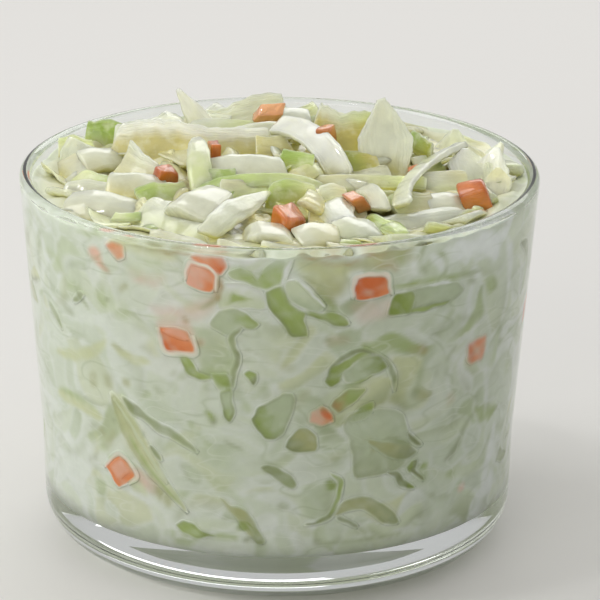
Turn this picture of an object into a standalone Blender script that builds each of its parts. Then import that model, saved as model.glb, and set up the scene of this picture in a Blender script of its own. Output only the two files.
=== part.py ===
# Coleslaw in its glass: a low tumbler with a thick clear base, filled with a heap of shredded
# cabbage and diced carrot in a creamy dressing. Metres, +Z up.
# The origin is the centre of the tumbler's foot, on the surface that it stands on. The heap's
# lowest edge, where bare glass shows above it, is front right, between +X and -Y.

import math

import bmesh
import bpy
import numpy as np

# Tumbler
RIM_DIAMETER = 0.0830
HEIGHT = 0.0605
WALL_AT_RIM = 0.0020
WALL_AT_FOOT = 0.0024
SHOULDER_RADIUS = 0.0381      # outside radius where the straight flare ends
SHOULDER_Z = 0.0180
HEEL_RADIUS = 0.0378          # outside radius just above the rounded heel
HEEL_ROUND = 0.0075           # radius of the rounded outer edge of the base
FLOOR_Z = 0.0078              # thickness of the clear base
FLOOR_ROUND = 0.0035          # radius of the inner corner between floor and wall

# Coleslaw
GAP = 0.0003                  # clearance between the food and the glass
EDGE_Z = 0.0570               # where the food meets the wall
DIP_DEPTH = 0.0046            # how far that edge drops at the front right
DIP_ANGLE = math.radians(-43)
DIP_WIDTH = math.radians(36)
DIP_REACH = 0.45              # share of the heap's rise that is missing over the dip
CROWN = 0.0062                # rise of the heap from its edge to its middle
CROWN_POWER = 2.6             # a higher power gives a flatter middle and a steeper edge
CROWN_OFFSET_Y = 0.0040       # the top of the heap lies a little behind the middle
LUMP_HEIGHT = 0.0011
# Each wave of lumps: length in metres, heading in degrees, phase in degrees
LUMP_WAVES = ((0.0131, 12, 40), (0.0104, 67, 205), (0.0117, 118, 310), (0.0089, 161, 95))

AROUND = 72                   # flats around each turned shape
TOP_RINGS = 15                # rings of faces on top of the heap


def clear_scene():
    for thing in list(bpy.data.objects):
        bpy.data.objects.remove(thing, do_unlink=True)


def outer_radius(z):
    """Outside radius of the tumbler above its heel: one flare to the rim over a steeper foot."""
    lip_z = HEIGHT - WALL_AT_RIM / 2
    return float(np.interp(z, (HEEL_ROUND, SHOULDER_Z, lip_z),
                           (HEEL_RADIUS, SHOULDER_RADIUS, RIM_DIAMETER / 2)))


def inner_radius(z):
    """Inside radius of the tumbler above its inner corner."""
    wall = float(np.interp(z, (FLOOR_Z, HEIGHT), (WALL_AT_FOOT, WALL_AT_RIM)))
    return outer_radius(z) - wall


def arc(centre, radius, start, stop, steps):
    """Points along an arc in the XZ plane, angles in degrees from +X towards +Z."""
    turns = (math.radians(start + (stop - start) * i / steps) for i in range(steps + 1))
    return [(centre[0] + radius * math.cos(t), centre[1] + radius * math.sin(t)) for t in turns]


def inner_corner(clearance):
    """The round between floor and wall, seen from inside, offset inwards by a clearance."""
    centre_z = FLOOR_Z + FLOOR_ROUND
    centre = (inner_radius(centre_z) - FLOOR_ROUND, centre_z)
    return arc(centre, FLOOR_ROUND - clearance, -90, 0, 6)


def glass_profile():
    """From the middle of the floor up the inside, over the lip and down the outside."""
    lip = WALL_AT_RIM / 2
    lip_z = HEIGHT - lip
    points = [(0, FLOOR_Z)]
    points += inner_corner(0)
    points += [(inner_radius(SHOULDER_Z), SHOULDER_Z)]
    points += arc((RIM_DIAMETER / 2 - lip, lip_z), lip, 180, 0, 10)
    points += [(SHOULDER_RADIUS, SHOULDER_Z)]
    points += arc((HEEL_RADIUS - HEEL_ROUND, HEEL_ROUND), HEEL_ROUND, 0, -90, 8)
    points += [(0, 0)]
    return points


def slaw_profile():
    """From the middle of a flat top out to the wall, down it, and back along the floor."""
    edge_radius = inner_radius(EDGE_Z) - GAP
    points = [(edge_radius * i / TOP_RINGS, EDGE_Z) for i in range(TOP_RINGS + 1)]
    points += [(inner_radius(z) - GAP, z) for z in (0.044, 0.031, SHOULDER_Z)]
    points += reversed(inner_corner(GAP))
    points += [(0, FLOOR_Z + GAP)]
    return points


def turned(name, profile, material, collection):
    """A profile in the XZ plane, spun about Z with a Screw modifier."""
    mesh = bpy.data.meshes.new(name)
    points = [(x, 0, z) for x, z in profile]
    mesh.from_pydata(points, [(i, i + 1) for i in range(len(points) - 1)], [])
    piece = bpy.data.objects.new(name, mesh)
    piece.data.materials.append(material)
    collection.objects.link(piece)
    screw = piece.modifiers.new("Turn", "SCREW")
    screw.steps = AROUND
    screw.render_steps = AROUND
    screw.use_merge_vertices = True
    screw.merge_threshold = 0.00001
    screw.use_smooth_shade = True
    return piece


def dip_share(angle):
    """One in the middle of the dip, fading to nothing on both sides of it."""
    apart = np.angle(np.exp(1j * (angle - DIP_ANGLE)))
    return np.exp(-(apart / DIP_WIDTH) ** 2)


def edge_height(angle):
    """Height of the food along the wall: level, with the dip and a slight ripple."""
    dip = dip_share(angle)
    ripple = 0.0004 * np.sin(5 * angle + 1.0) + 0.0003 * np.sin(9 * angle)
    return EDGE_Z - DIP_DEPTH * dip + ripple * (1 - dip)


def lumps(x, y):
    """Crossed waves, from -1 to 1, that stand for the clumps of shreds."""
    total = np.zeros_like(x)
    for length, heading, phase in LUMP_WAVES:
        turn = math.radians(heading)
        along = x * math.cos(turn) + y * math.sin(turn)
        total += np.sin(2 * np.pi * along / length + math.radians(phase))
    return total / len(LUMP_WAVES) * 2


def raise_heap(piece):
    """Turn the flat top into the heap: a crown on the dipping edge, with lumps on it."""
    depsgraph = bpy.context.evaluated_depsgraph_get()
    mesh = bpy.data.meshes.new_from_object(piece.evaluated_get(depsgraph))
    piece.modifiers.clear()
    piece.data = mesh

    points = np.empty(len(mesh.vertices) * 3, dtype=np.float32)
    mesh.vertices.foreach_get("co", points)
    points = points.reshape(-1, 3).astype(np.float64)
    top = points[:, 2] > EDGE_Z - 1e-5
    x, y = points[top, 0], points[top, 1]
    flat_radius = inner_radius(EDGE_Z) - GAP
    share = np.hypot(x, y) / flat_radius

    angle = np.arctan2(y, x)
    edge = edge_height(angle)
    crown_share = np.hypot(x, y - CROWN_OFFSET_Y * (1 - share)) / flat_radius
    crown = CROWN * (1 - np.clip(crown_share, 0, 1) ** CROWN_POWER)
    crown *= 1 - DIP_REACH * dip_share(angle) * share ** 2
    inward = 1 - share ** 6
    lift = crown + LUMP_HEIGHT * lumps(x, y) * inward
    height = EDGE_Z + (edge - EDGE_Z) * share ** 3 + lift * (1 - share ** 12)

    # the edge follows the flared wall, so a lower edge is also a narrower one
    reach = np.array([inner_radius(z) - GAP for z in edge]) / flat_radius
    fit = 1 + (reach - 1) * share ** 3
    points[top] = np.stack((x * fit, y * fit, height), axis=1)
    mesh.vertices.foreach_set("co", points.astype(np.float32).ravel())
    mesh.update()


def face_outwards(piece):
    form = bmesh.new()
    form.from_mesh(piece.data)
    bmesh.ops.recalc_face_normals(form, faces=form.faces)
    form.to_mesh(piece.data)
    form.free()


def principled(name, colour, roughness, transmission=0.0):
    material = bpy.data.materials.new(name)
    material.use_nodes = True
    shader = material.node_tree.nodes["Principled BSDF"]
    shader.inputs["Base Color"].default_value = (*colour, 1)
    shader.inputs["Roughness"].default_value = roughness
    shader.inputs["Metallic"].default_value = 0.0
    shader.inputs["Transmission Weight"].default_value = transmission
    material.diffuse_color = (*colour, 1)
    return material


def main():
    clear_scene()
    part = bpy.data.collections.new("coleslaw_in_glass")
    bpy.context.scene.collection.children.link(part)

    clear_glass = principled("clear glass", (0.86, 0.92, 0.92), 0.03, transmission=0.9)
    dressed_slaw = principled("dressed coleslaw", (0.72, 0.76, 0.52), 0.35)

    turned("glass", glass_profile(), clear_glass, part)
    slaw = turned("coleslaw", slaw_profile(), dressed_slaw, part)
    raise_heap(slaw)
    face_outwards(slaw)


main()
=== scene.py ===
import math

import bpy
import numpy as np
from mathutils import Matrix, Vector


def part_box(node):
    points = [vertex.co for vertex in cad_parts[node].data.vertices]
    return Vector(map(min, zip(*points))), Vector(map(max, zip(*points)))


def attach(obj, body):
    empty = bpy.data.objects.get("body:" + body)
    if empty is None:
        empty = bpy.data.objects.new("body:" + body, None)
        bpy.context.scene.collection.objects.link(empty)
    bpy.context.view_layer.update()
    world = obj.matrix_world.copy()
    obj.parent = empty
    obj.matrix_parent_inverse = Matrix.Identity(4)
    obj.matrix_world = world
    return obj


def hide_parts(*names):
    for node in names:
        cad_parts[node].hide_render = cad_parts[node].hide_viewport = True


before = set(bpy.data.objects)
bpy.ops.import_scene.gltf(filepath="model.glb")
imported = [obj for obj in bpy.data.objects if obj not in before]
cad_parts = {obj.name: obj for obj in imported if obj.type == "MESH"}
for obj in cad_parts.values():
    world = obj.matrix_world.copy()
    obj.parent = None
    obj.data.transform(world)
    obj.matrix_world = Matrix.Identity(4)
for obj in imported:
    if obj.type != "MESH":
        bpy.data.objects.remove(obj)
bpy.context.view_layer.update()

# Coleslaw in a low clear tumbler. Lengths are in millimetres until a mesh is made.
# The glass is turned, the dressing fills it out to the wall, and the cut cabbage and
# the carrot dice lie on it, stand in it and press against the glass.
metre = 0.001
random = np.random.default_rng(41)
print("frame loaded")


def toLinear(hexColour):
    # sRGB hex to linear: a 2.4 power with a straight foot
    channels = np.array([int(hexColour[i:i + 2], 16) for i in (1, 3, 5)]) / 255
    return np.where(channels <= 0.04045, channels / 12.92, ((channels + 0.055) / 1.055) ** 2.4)


def mix(a, b, share):
    # straight blend of two values or arrays
    return a + (b - a) * share


def smoothStep(low, high, value):
    # 0 at low, 1 at high, with a soft start and end
    t = np.clip((value - low) / (high - low), 0, 1)
    return t * t * (3 - 2 * t)


def waves(place, length, seed, count=9):
    # soft noise of about -1 to 1: sines of about one length, crossed in scattered directions
    maker = np.random.default_rng(seed)
    ways = maker.normal(size=(count, place.shape[-1]))
    ways /= np.linalg.norm(ways, axis=1)[:, None] * maker.uniform(0.7, 1.5, count)[:, None] * length
    phases = maker.uniform(0, 2 * np.pi, count)
    return np.sin(place @ ways.T * 2 * np.pi + phases).sum(-1) / math.sqrt(count)


def wrapOver(run, rise, curve):
    # lays the run along a circle of the given curvature, with the rise standing square to it
    curve = curve if abs(curve) > 1e-5 else 1e-5
    angle = run * curve
    return np.sin(angle) / curve - rise * np.sin(angle), (1 - np.cos(angle)) / curve + rise * np.cos(angle)


def roundedPower(wave, power):
    # a sine or cosine squared off: below 1 the power turns a circle into a rounded box
    return np.sign(wave) * np.abs(wave) ** power


def gridFaces(rows, columns):
    # quads of a rows by columns grid of points whose last column joins the first
    i = np.arange(rows - 1)[:, None]
    j = np.arange(columns)[None, :]
    k = (j + 1) % columns
    quads = np.stack((i * columns + j, i * columns + k, (i + 1) * columns + k, (i + 1) * columns + j), -1)
    return quads.reshape(-1, 4)


def closedTube(grid):
    # a grid wrapped round its columns, with a fan to one point at each end: (points, quads, triangles)
    rows, columns, _ = grid.shape
    points = np.vstack((grid.reshape(-1, 3), grid[0].mean(0), grid[-1].mean(0)))
    ring = np.arange(columns)
    after = (ring + 1) % columns
    first, last = rows * columns, rows * columns + 1
    start = np.stack((np.full(columns, first), after, ring), -1)
    end = np.stack((np.full(columns, last), ring + (rows - 1) * columns, after + (rows - 1) * columns), -1)
    return points, gridFaces(rows, columns), np.vstack((start, end))


def signedVolume(points, quads, triangles):
    # sum of the tetrahedra from the origin to each triangle
    split = np.vstack((quads[:, [0, 1, 2]], quads[:, [0, 2, 3]], triangles))
    a, b, c = (points[split[:, k]] for k in range(3))
    return np.einsum("ij,ij->i", a, np.cross(b, c)).sum() / 6


class Pile:
    # collects closed pieces, each turned outwards, that become one joined mesh
    def __init__(self):
        self.points, self.quads, self.triangles, self.colours, self.grains, self.count = [], [], [], [], [], 0

    def add(self, grid, colours, grain=None):
        points, quads, triangles = closedTube(grid)
        if signedVolume(points - points.mean(0), quads, triangles) < 0:
            quads, triangles = quads[:, ::-1], triangles[:, ::-1]
        shades = np.vstack((colours.reshape(-1, 3), colours[0].mean(0), colours[-1].mean(0)))
        self.points.append(points)
        self.quads.append(quads + self.count)
        self.triangles.append(triangles + self.count)
        self.colours.append(shades)
        if grain is not None:
            self.grains.append(np.vstack((grain.reshape(-1, 3), grain[0].mean(0), grain[-1].mean(0))))
        self.count += len(points)

    def build(self, name, material, node):
        # one mesh object at the origin, which stands for a node of the frame
        points, colours = np.vstack(self.points), np.vstack(self.colours)
        mesh = bpy.data.meshes.new(name)
        faces = np.vstack(self.quads).tolist() + np.vstack(self.triangles).tolist()
        mesh.from_pydata((points * metre).tolist(), [], faces)
        mesh.shade_smooth()
        tint = mesh.color_attributes.new("tint", "FLOAT_COLOR", "POINT")
        tint.data.foreach_set("color", np.hstack((colours, np.ones((len(colours), 1)))).astype(np.float32).ravel())
        if self.grains:
            grain = mesh.attributes.new("grain", "FLOAT_VECTOR", "POINT")
            grain.data.foreach_set("vector", (np.vstack(self.grains) * metre).astype(np.float32).ravel())
        mesh.materials.append(material)
        piece = bpy.data.objects.new(name, mesh)
        bpy.context.scene.collection.objects.link(piece)
        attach(piece, "root")
        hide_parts(node)
        print(name, "has", len(faces), "faces")
        return piece


def newMaterial(name):
    material = bpy.data.materials.new(name)
    material.use_nodes = True
    return material, material.node_tree


def addNode(tree, kind, settings=None, links=None):
    # a node with its settings; a setting that names a socket goes to the socket, and links join sockets
    node = tree.nodes.new(kind)
    for key, value in (settings or {}).items():
        if isinstance(key, int) or key in node.inputs:
            node.inputs[key].default_value = value
        else:
            setattr(node, key, value)
    for key, source in (links or {}).items():
        tree.links.new(source, node.inputs[key])
    return node


tumbler = {
    "wallAtRim": 2.0,
    "wallAtFoot": 2.4,
    "shoulderRadius": 38.1,    # outside, where the flare ends
    "shoulderHeight": 18.0,
    "heelRadius": 37.8,
    "heelRound": 7.5,
    "floorHeight": 7.8,        # the thick clear base
    "floorRound": 3.5,
    "around": 224,
}
glassLow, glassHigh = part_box("glass")
rimRadius = (glassHigh.x - glassLow.x) / 2 / metre
rimHeight = glassHigh.z / metre


def outerRadius(z):
    lip = rimHeight - tumbler["wallAtRim"] / 2
    return np.interp(z, (tumbler["heelRound"], tumbler["shoulderHeight"], lip),
                     (tumbler["heelRadius"], tumbler["shoulderRadius"], rimRadius))


def innerRadius(z):
    wall = np.interp(z, (tumbler["floorHeight"], rimHeight), (tumbler["wallAtFoot"], tumbler["wallAtRim"]))
    return outerRadius(z) - wall


def arc(radius, height, bend, start, stop, count):
    # points of a circle about (radius, height), angles in degrees from outwards towards up
    turn = np.radians(np.linspace(start, stop, count))
    return np.stack((radius + bend * np.cos(turn), height + bend * np.sin(turn)), -1)


def floorCorner(inset):
    # the round between floor and wall, moved inwards by inset
    centre = tumbler["floorHeight"] + tumbler["floorRound"]
    return arc(innerRadius(centre) - tumbler["floorRound"], centre, tumbler["floorRound"] - inset, -90, 0, 9)


def latheGrid(profile, around):
    # the profile's radius and height carried once about the axis
    turn = np.linspace(0, 2 * np.pi, around, endpoint=False)
    radius, height = profile[:, 0][:, None], profile[:, 1][:, None]
    return np.stack((radius * np.cos(turn), radius * np.sin(turn), height + 0 * turn), -1)


def clearGlass():
    # soda-lime glass, pressed and fire polished: a water-clear wall with sharp reflections;
    # lamps shine through it, so its shadow rays pass
    material, tree = newMaterial("soda-lime glass")
    tree.nodes.clear()
    glass = addNode(tree, "ShaderNodeBsdfPrincipled", {
        "Base Color": (*toLinear("#FBFEFD"), 1), "Roughness": 0.0, "IOR": 1.51, "Transmission Weight": 1.0})
    clear = addNode(tree, "ShaderNodeBsdfTransparent", {"Color": (0.97, 0.98, 0.98, 1)})
    path = addNode(tree, "ShaderNodeLightPath")
    either = addNode(tree, "ShaderNodeMixShader", None, {
        0: path.outputs["Is Shadow Ray"], 1: glass.outputs[0], 2: clear.outputs[0]})
    addNode(tree, "ShaderNodeOutputMaterial", None, {"Surface": either.outputs[0]})
    return material


def makeTumbler():
    lip = tumbler["wallAtRim"] / 2
    spread = np.linspace(0.04, 1, 12)[:, None]
    floor = floorCorner(0)
    foot = arc(tumbler["heelRadius"] - tumbler["heelRound"], tumbler["heelRound"], tumbler["heelRound"],
               0, -90, 18)
    wallHeights = np.linspace(floor[-1, 1], rimHeight - lip, 30)[1:-1]
    inside = np.stack((innerRadius(wallHeights), wallHeights), -1)
    outHeights = np.linspace(rimHeight - lip, tumbler["heelRound"], 30)[1:-1]
    outside = np.stack((outerRadius(outHeights), outHeights), -1)
    rim = arc(rimRadius - lip, rimHeight - lip, lip, 180, 0, 15)
    profile = np.vstack((floor[0] * (spread * [1, 0] + [0, 1]), floor[1:], inside, rim, outside, foot,
                         foot[-1] * (spread[::-1][1:] * [1, 0] + [0, 1])))
    turned = Pile()
    grid = latheGrid(profile, tumbler["around"])
    turned.add(grid, np.ones_like(grid))
    turned.build("tumbler", clearGlass(), "glass")


makeTumbler()
print("tumbler turned")


def heapFromFrame(cell):
    # height of the heap over a square grid, by rays straight down; outside it the edge's own level
    ticks = np.arange(-40.0, 40.0 + cell / 2, cell)
    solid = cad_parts["coleslaw"]
    top = np.full((len(ticks), len(ticks)), np.nan)
    for i, x in enumerate(ticks):
        for j, y in enumerate(ticks):
            if x * x + y * y < 38.5 ** 2:
                hit, place, _, _ = solid.ray_cast(Vector((x, y, 100)) * metre, Vector((0, 0, -1)))
                top[i, j] = place.z / metre if hit else np.nan
    return ticks, top


def sample(ticks, field, x, y):
    # value of a square field between its grid points, straight blends both ways
    step = ticks[1] - ticks[0]
    u = np.clip((x - ticks[0]) / step, 0, len(ticks) - 1.001)
    v = np.clip((y - ticks[0]) / step, 0, len(ticks) - 1.001)
    i, j = u.astype(int), v.astype(int)
    u, v = u - i, v - j
    return (field[i, j] * (1 - u) * (1 - v) + field[i + 1, j] * u * (1 - v)
            + field[i, j + 1] * (1 - u) * v + field[i + 1, j + 1] * u * v)


heapTicks, heapTop = heapFromFrame(1.0)
heapX, heapY = np.meshgrid(heapTicks, heapTicks, indexing="ij")
openSky = np.isnan(heapTop)
edgeReach = 37.4               # radius where the heap's edge is read


def carryOutwards(field):
    # beyond the heap each place takes the value found inwards of it, at the edge
    inwards = edgeReach / np.maximum(np.hypot(heapX, heapY), edgeReach)
    x, y = heapX * inwards, heapY * inwards
    known = np.maximum(sample(heapTicks, 1.0 - openSky, x, y), 0.01)
    return np.where(openSky, sample(heapTicks, np.where(openSky, 0, field), x, y) / known, field)


heapTop = carryOutwards(heapTop)
# the salad climbs to a little under the rim all round the wall
climb = np.maximum(59.8 - heapTop, 0) * smoothStep(26, 34.5, np.hypot(heapX, heapY))
heapTop = heapTop + climb


dressing = {
    "intoWall": 0.05,          # how far the body reaches into the glass, so that no air shows
    # the tide line: lengths along the wall from the front, and how high the dressing is drawn up there
    "tideAlong": (-121, -60, -38, -25, -11, 0, 12, 30, 45, 80, 121),
    "tideHeight": (58.4, 58.8, 58.8, 58.9, 59.0, 59.0, 59.0, 58.9, 58.9, 58.6, 58.4),
    "coreDrop": 3.6,           # how far the body's top lies under the heap's outline
    "bankDrop": 1.1,           # the same close to the wall, where the dressing banks up
    "film": 0.9,               # thickness of the film at the top of the wall
    "around": 600,
    "up": 112,
    "cream": "#E8EDE1",
    "mist": "#DBE2D0",
    "sage": "#BFCBAC",
    "straw": "#DADDB4",
    "collar": "#DFE1C2",       # where it turns over inside the rim
    # painted shade: the olive that the dressing's top takes deep in the gaps under the loose pieces
    "gapShade": "#C6C084",
}
wallMiddle = 38.5              # radius that turns an angle about the axis into a length along the wall


def wallFace(height):
    # radius of the glass's inner face: the straight wall, and the round into the floor below it
    centre = tumbler["floorHeight"] + tumbler["floorRound"]
    below = np.clip(centre - height, 0, tumbler["floorRound"])
    inwards = tumbler["floorRound"] - np.sqrt(tumbler["floorRound"] ** 2 - below ** 2)
    return innerRadius(np.maximum(height, centre)) - inwards


def onWall(along, height, depth):
    # a place by its length along the wall from the front, its height, and its depth behind the glass
    turn = along / wallMiddle - np.pi / 2
    radius = wallFace(height) + dressing["intoWall"] - depth
    return np.stack((radius * np.cos(turn), radius * np.sin(turn), height + 0 * turn), -1)


def edgeHeight(turn):
    # height of the dressing at the wall: the tide line, a little uneven
    ring = np.stack((np.cos(turn), np.sin(turn)), -1) * wallMiddle
    along = ((turn + 1.5 * np.pi) % (2 * np.pi) - np.pi) * wallMiddle
    tide = np.interp(along, dressing["tideAlong"], dressing["tideHeight"])
    return tide + 0.2 * waves(ring, 14, 21) + 0.1 * waves(ring, 4, 22)


wallTones = {
    "white": "#EFF2EE",
    "mist": "#DDE4E2",
    "pale": "#D8E0C2",
    "straw": "#D6DAA8",
    "sage": "#C0CCAA",
    "leaf": "#A6B968",
    "moss": "#8CA03C",
    "olive": "#B4B780",
    "shadow": "#A3AE80",
    # dusk: the darkest green of shreds, and the dark line round things, which is painted shade at their edge
    "dusk": "#8A9462",
    "rust": "#B39355",
    "pink": "#EBC6B6",
    "blush": "#F4B69C",
    "carrot": "#F08C50",
    "deepCarrot": "#E06A1E",
    "frame": "#F6EADC",
}

# the wall is painted on a canvas: columns go round from the back, rows go up
canvasStep = 2 * np.pi * wallMiddle / dressing["around"]
canvasAlong = (np.arange(dressing["around"]) + 0.5) * canvasStep - np.pi * wallMiddle
canvasHeight = np.arange(tumbler["floorHeight"], rimHeight, canvasStep)


def bareDressing():
    # dressing against the glass, white where it is thick and greyer to one side, over a mosaic of pressed
    # shreds: each place takes the nearest of many long ovals, with painted shade towards one edge of it, and a
    # pale seam of dressing where two are equally near. The greyer side, towards +x, shows more of the shreds and
    # is also painted shade away from the key light
    maker = np.random.default_rng(8)
    along, height = np.meshgrid(canvasAlong, canvasHeight)
    place = onWall(along, height, 0)
    count = 520
    middle = np.stack((maker.uniform(-np.pi, np.pi, count) * wallMiddle, maker.uniform(6, 62, count)), -1)
    lean = np.radians(maker.normal(0, 38, count))
    long, wide = maker.uniform(4, 9, count), maker.uniform(1.3, 3.2, count)
    first, second = np.full(along.shape, 99.0), np.full(along.shape, 99.0)
    owner, across = np.zeros(along.shape, int), np.zeros(along.shape)
    bent = 1.6 * waves(place, 12, 31), 1.6 * waves(place, 12, 32)
    for number in range(count):
        x = (along - middle[number, 0] + np.pi * wallMiddle) % (2 * np.pi * wallMiddle) - np.pi * wallMiddle + bent[0]
        y = height - middle[number, 1] + bent[1]
        u = x * math.cos(lean[number]) + y * math.sin(lean[number])
        v = y * math.cos(lean[number]) - x * math.sin(lean[number])
        far = np.hypot(u / long[number], v / wide[number])
        nearer = far < first
        second = np.where(nearer, first, np.minimum(second, far))
        owner, across = np.where(nearer, number, owner), np.where(nearer, v / wide[number], across)
        first = np.where(nearer, far, first)
    names = np.array(["white", "pale", "straw", "sage", "pale", "sage", "leaf", "white"])
    shreds = np.array([toLinear(wallTones[name]) for name in names])[maker.integers(0, len(names), count)]
    # painted shade: away from the key light, towards +x, the dressing turns greyer and its shreds show more
    awayFromKey = smoothStep(-40, 26, place[..., 0])
    strength = (0.5 * maker.uniform(0.1, 1.0, count))[owner] * mix(1.0, 1.7, awayFromKey)
    base = mix(toLinear(dressing["cream"]), toLinear(dressing["mist"]), awayFromKey[..., None])
    cloud = smoothStep(-1.0, 1.3, waves(place, 15, 3)) * (0.10 + 0.24 * awayFromKey - 0.22 * smoothStep(8, 30, place[..., 0]))
    base = mix(base, toLinear(dressing["sage"]), cloud[..., None])
    thick = smoothStep(0.1, 1.2, waves(place, 11, 5))          # here the dressing hides more of the shreds
    base = mix(base, shreds[owner], (strength * mix(1.0, 0.25, thick))[..., None])
    # painted shade: the shadow tone lies on one side of each oval, as in a recess
    side = smoothStep(-0.2, 1.1, across * np.sign(np.sin(owner * 7.0)))
    base = mix(base, toLinear(wallTones["shadow"]), (0.8 * strength * side)[..., None])
    seam = np.exp(-((second - first) / 0.14) ** 2) * mix(0.55, 0.25, thick)
    return mix(base, toLinear(wallTones["white"]), seam[..., None])


canvas = bareDressing()


def canvasColour(along, height):
    # the painted colour between the canvas's points, which closes on itself round the back
    u = (along - canvasAlong[0]) / canvasStep
    v = np.clip((height - canvasHeight[0]) / canvasStep, 0, len(canvasHeight) - 1.001)
    i, j = np.floor(u).astype(int), v.astype(int)
    u, v = (u - i)[..., None], (v - j)[..., None]
    left, right = i % len(canvasAlong), (i + 1) % len(canvasAlong)
    return (canvas[j, left] * (1 - u) * (1 - v) + canvas[j, right] * u * (1 - v)
            + canvas[j + 1, left] * (1 - u) * v + canvas[j + 1, right] * u * v)


def smoothPath(points, count, closed, ease=0.5):
    # evenly spaced places on a curve through the points (cardinal spline, straight between points at
    # ease 0); a third number rides along
    points = np.array(points, float)
    if closed:
        knots = np.vstack((points[-1], points, points[:2]))
    else:
        knots = np.vstack((2 * points[0] - points[1], points, 2 * points[-1] - points[-2]))
    share = np.linspace(0, len(knots) - 3, 12 * count)
    i = np.minimum(share.astype(int), len(knots) - 4)
    t = (share - i)[:, None]
    a, b, c, d = (knots[i + k] for k in range(4))
    fine = (b + ease * (c - a) * t + (2 * ease * a + (ease - 3) * b + (3 - 2 * ease) * c - ease * d) * t ** 2
            + (-ease * a + (2 - ease) * b + (ease - 2) * c + ease * d) * t ** 3)
    run = np.concatenate(([0], np.cumsum(np.hypot(*np.diff(fine[:, :2], axis=0).T))))
    even = np.linspace(0, run[-1], count, endpoint=not closed)
    return np.stack([np.interp(even, run, fine[:, k]) for k in range(fine.shape[1])], -1)


def shape(outline, spine, tone, dark="", side=225, strength=0.8, soft=0.3, line=0.0, rim=0.0, made="", depth=0.7):
    # one thing seen against the glass: its outline, the spine a band has, a tone with a darker one towards
    # a side (degrees from the right), partly the thing's own second tone and partly painted shade as in a recess,
    # a dark line round it, which is painted shade at its edge, a pale rim of dressing outside it, and what it
    # is made of if it is cut solid
    outline = outline + 0.09 * np.stack((waves(outline, 2.6, 51), waves(outline, 2.6, 52)), -1)
    return {"outline": outline, "spine": spine, "tone": tone, "dark": dark or tone, "side": side,
            "strength": strength, "soft": soft, "line": line, "rim": rim, "made": made, "depth": depth}


def area(points, tone, dark="", side=225, **looks):
    return shape(smoothPath(points, 56, True, 0.28), None, tone, dark, side, **looks)


def stroke(path, tone, dark="", side=225, **looks):
    # a band along a path of (along, height, width): half its width falls to nothing at both ends
    middle = smoothPath(path, 31, False)
    ahead = np.gradient(middle[:, :2], axis=0)
    ahead /= np.hypot(ahead[:, :1], ahead[:, 1:])
    square = np.stack((-ahead[:, 1], ahead[:, 0]), -1)
    share = np.linspace(-1, 1, len(middle))[:, None]
    half = middle[:, 2:] / 2 * (1 - np.abs(share) ** 5) ** 0.6
    outline = np.vstack((middle[:, :2] + square * half, (middle[:, :2] - square * half)[::-1]))
    return shape(outline, np.hstack((middle[:, :2], square, half)), tone, dark, side, **looks)


def inwards(outline, along, height):
    # distance from places to a closed outline, positive inside it (by counting crossed edges)
    x, y = along[..., None] - outline[:, 0], height[..., None] - outline[:, 1]
    step = np.roll(outline, -1, 0) - outline
    rise = np.where(np.abs(step[:, 1]) < 1e-9, 1e-9, step[:, 1])
    share = np.clip((x * step[:, 0] + y * step[:, 1]) / ((step ** 2).sum(-1) + 1e-9), 0, 1)
    far = np.hypot(x - share * step[:, 0], y - share * step[:, 1]).min(-1)
    crossed = ((y < 0) != (y < rise)) & (x < step[:, 0] * y / rise)
    return np.where(crossed.sum(-1) % 2 == 1, far, -far)


def shapeColour(thing, along, height, under):
    # paints a thing over the colour under it, by the distance inside its outline
    outline = thing["outline"]
    inside = inwards(outline, along, height)
    spot = np.stack((along, height), -1)
    side = math.radians(thing["side"])
    # painted shade: the darker tone grows towards the chosen side, as inside a recess
    ahead = (spot - outline.mean(0)) @ (math.cos(side), math.sin(side))
    ahead = ahead / ((outline - outline.mean(0)) @ (math.cos(side), math.sin(side))).max()
    shade = smoothStep(-0.25, 1.0, ahead + 0.14 * waves(spot, 1.8, 41, 6))
    cover = smoothStep(-thing["soft"], thing["soft"], inside) * thing["strength"]
    cover = np.clip(cover * (1 + 0.14 * waves(spot, 2.4, 42, 6)), 0, 1)
    tone = mix(toLinear(wallTones[thing["tone"]]), toLinear(wallTones[thing["dark"]]), shade[..., None])
    rim = np.exp(-((inside + 0.45) / 0.28) ** 2) * thing["rim"] * (0.55 + 0.45 * waves(spot, 5, 43, 6))
    colour = mix(under, toLinear(wallTones["white"]), rim[..., None])
    colour = mix(colour, tone, cover[..., None])
    # painted shade: a dark line just inside the outline, stronger on the shaded side
    edge = np.exp(-((inside - 0.15) / 0.24) ** 2) * mix(0.4, 1.0, shade) * thing["line"]
    return mix(colour, toLinear(wallTones["dusk"]), edge[..., None])


def paint(thing):
    # puts a thing on the canvas, in the box round it
    low, high = thing["outline"].min(0) - thing["soft"] - 1, thing["outline"].max(0) + thing["soft"] + 1
    middle = (low[0] + high[0]) / 2
    along = middle + (canvasAlong - middle + np.pi * wallMiddle) % (2 * np.pi * wallMiddle) - np.pi * wallMiddle
    columns = np.flatnonzero((along > low[0]) & (along < high[0]))
    rows = np.flatnonzero((canvasHeight > low[1]) & (canvasHeight < high[1]))
    if len(columns) and len(rows):
        box = np.ix_(rows, columns)
        canvas[box] = shapeColour(thing, *np.meshgrid(along[columns], canvasHeight[rows]), canvas[box])


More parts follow.
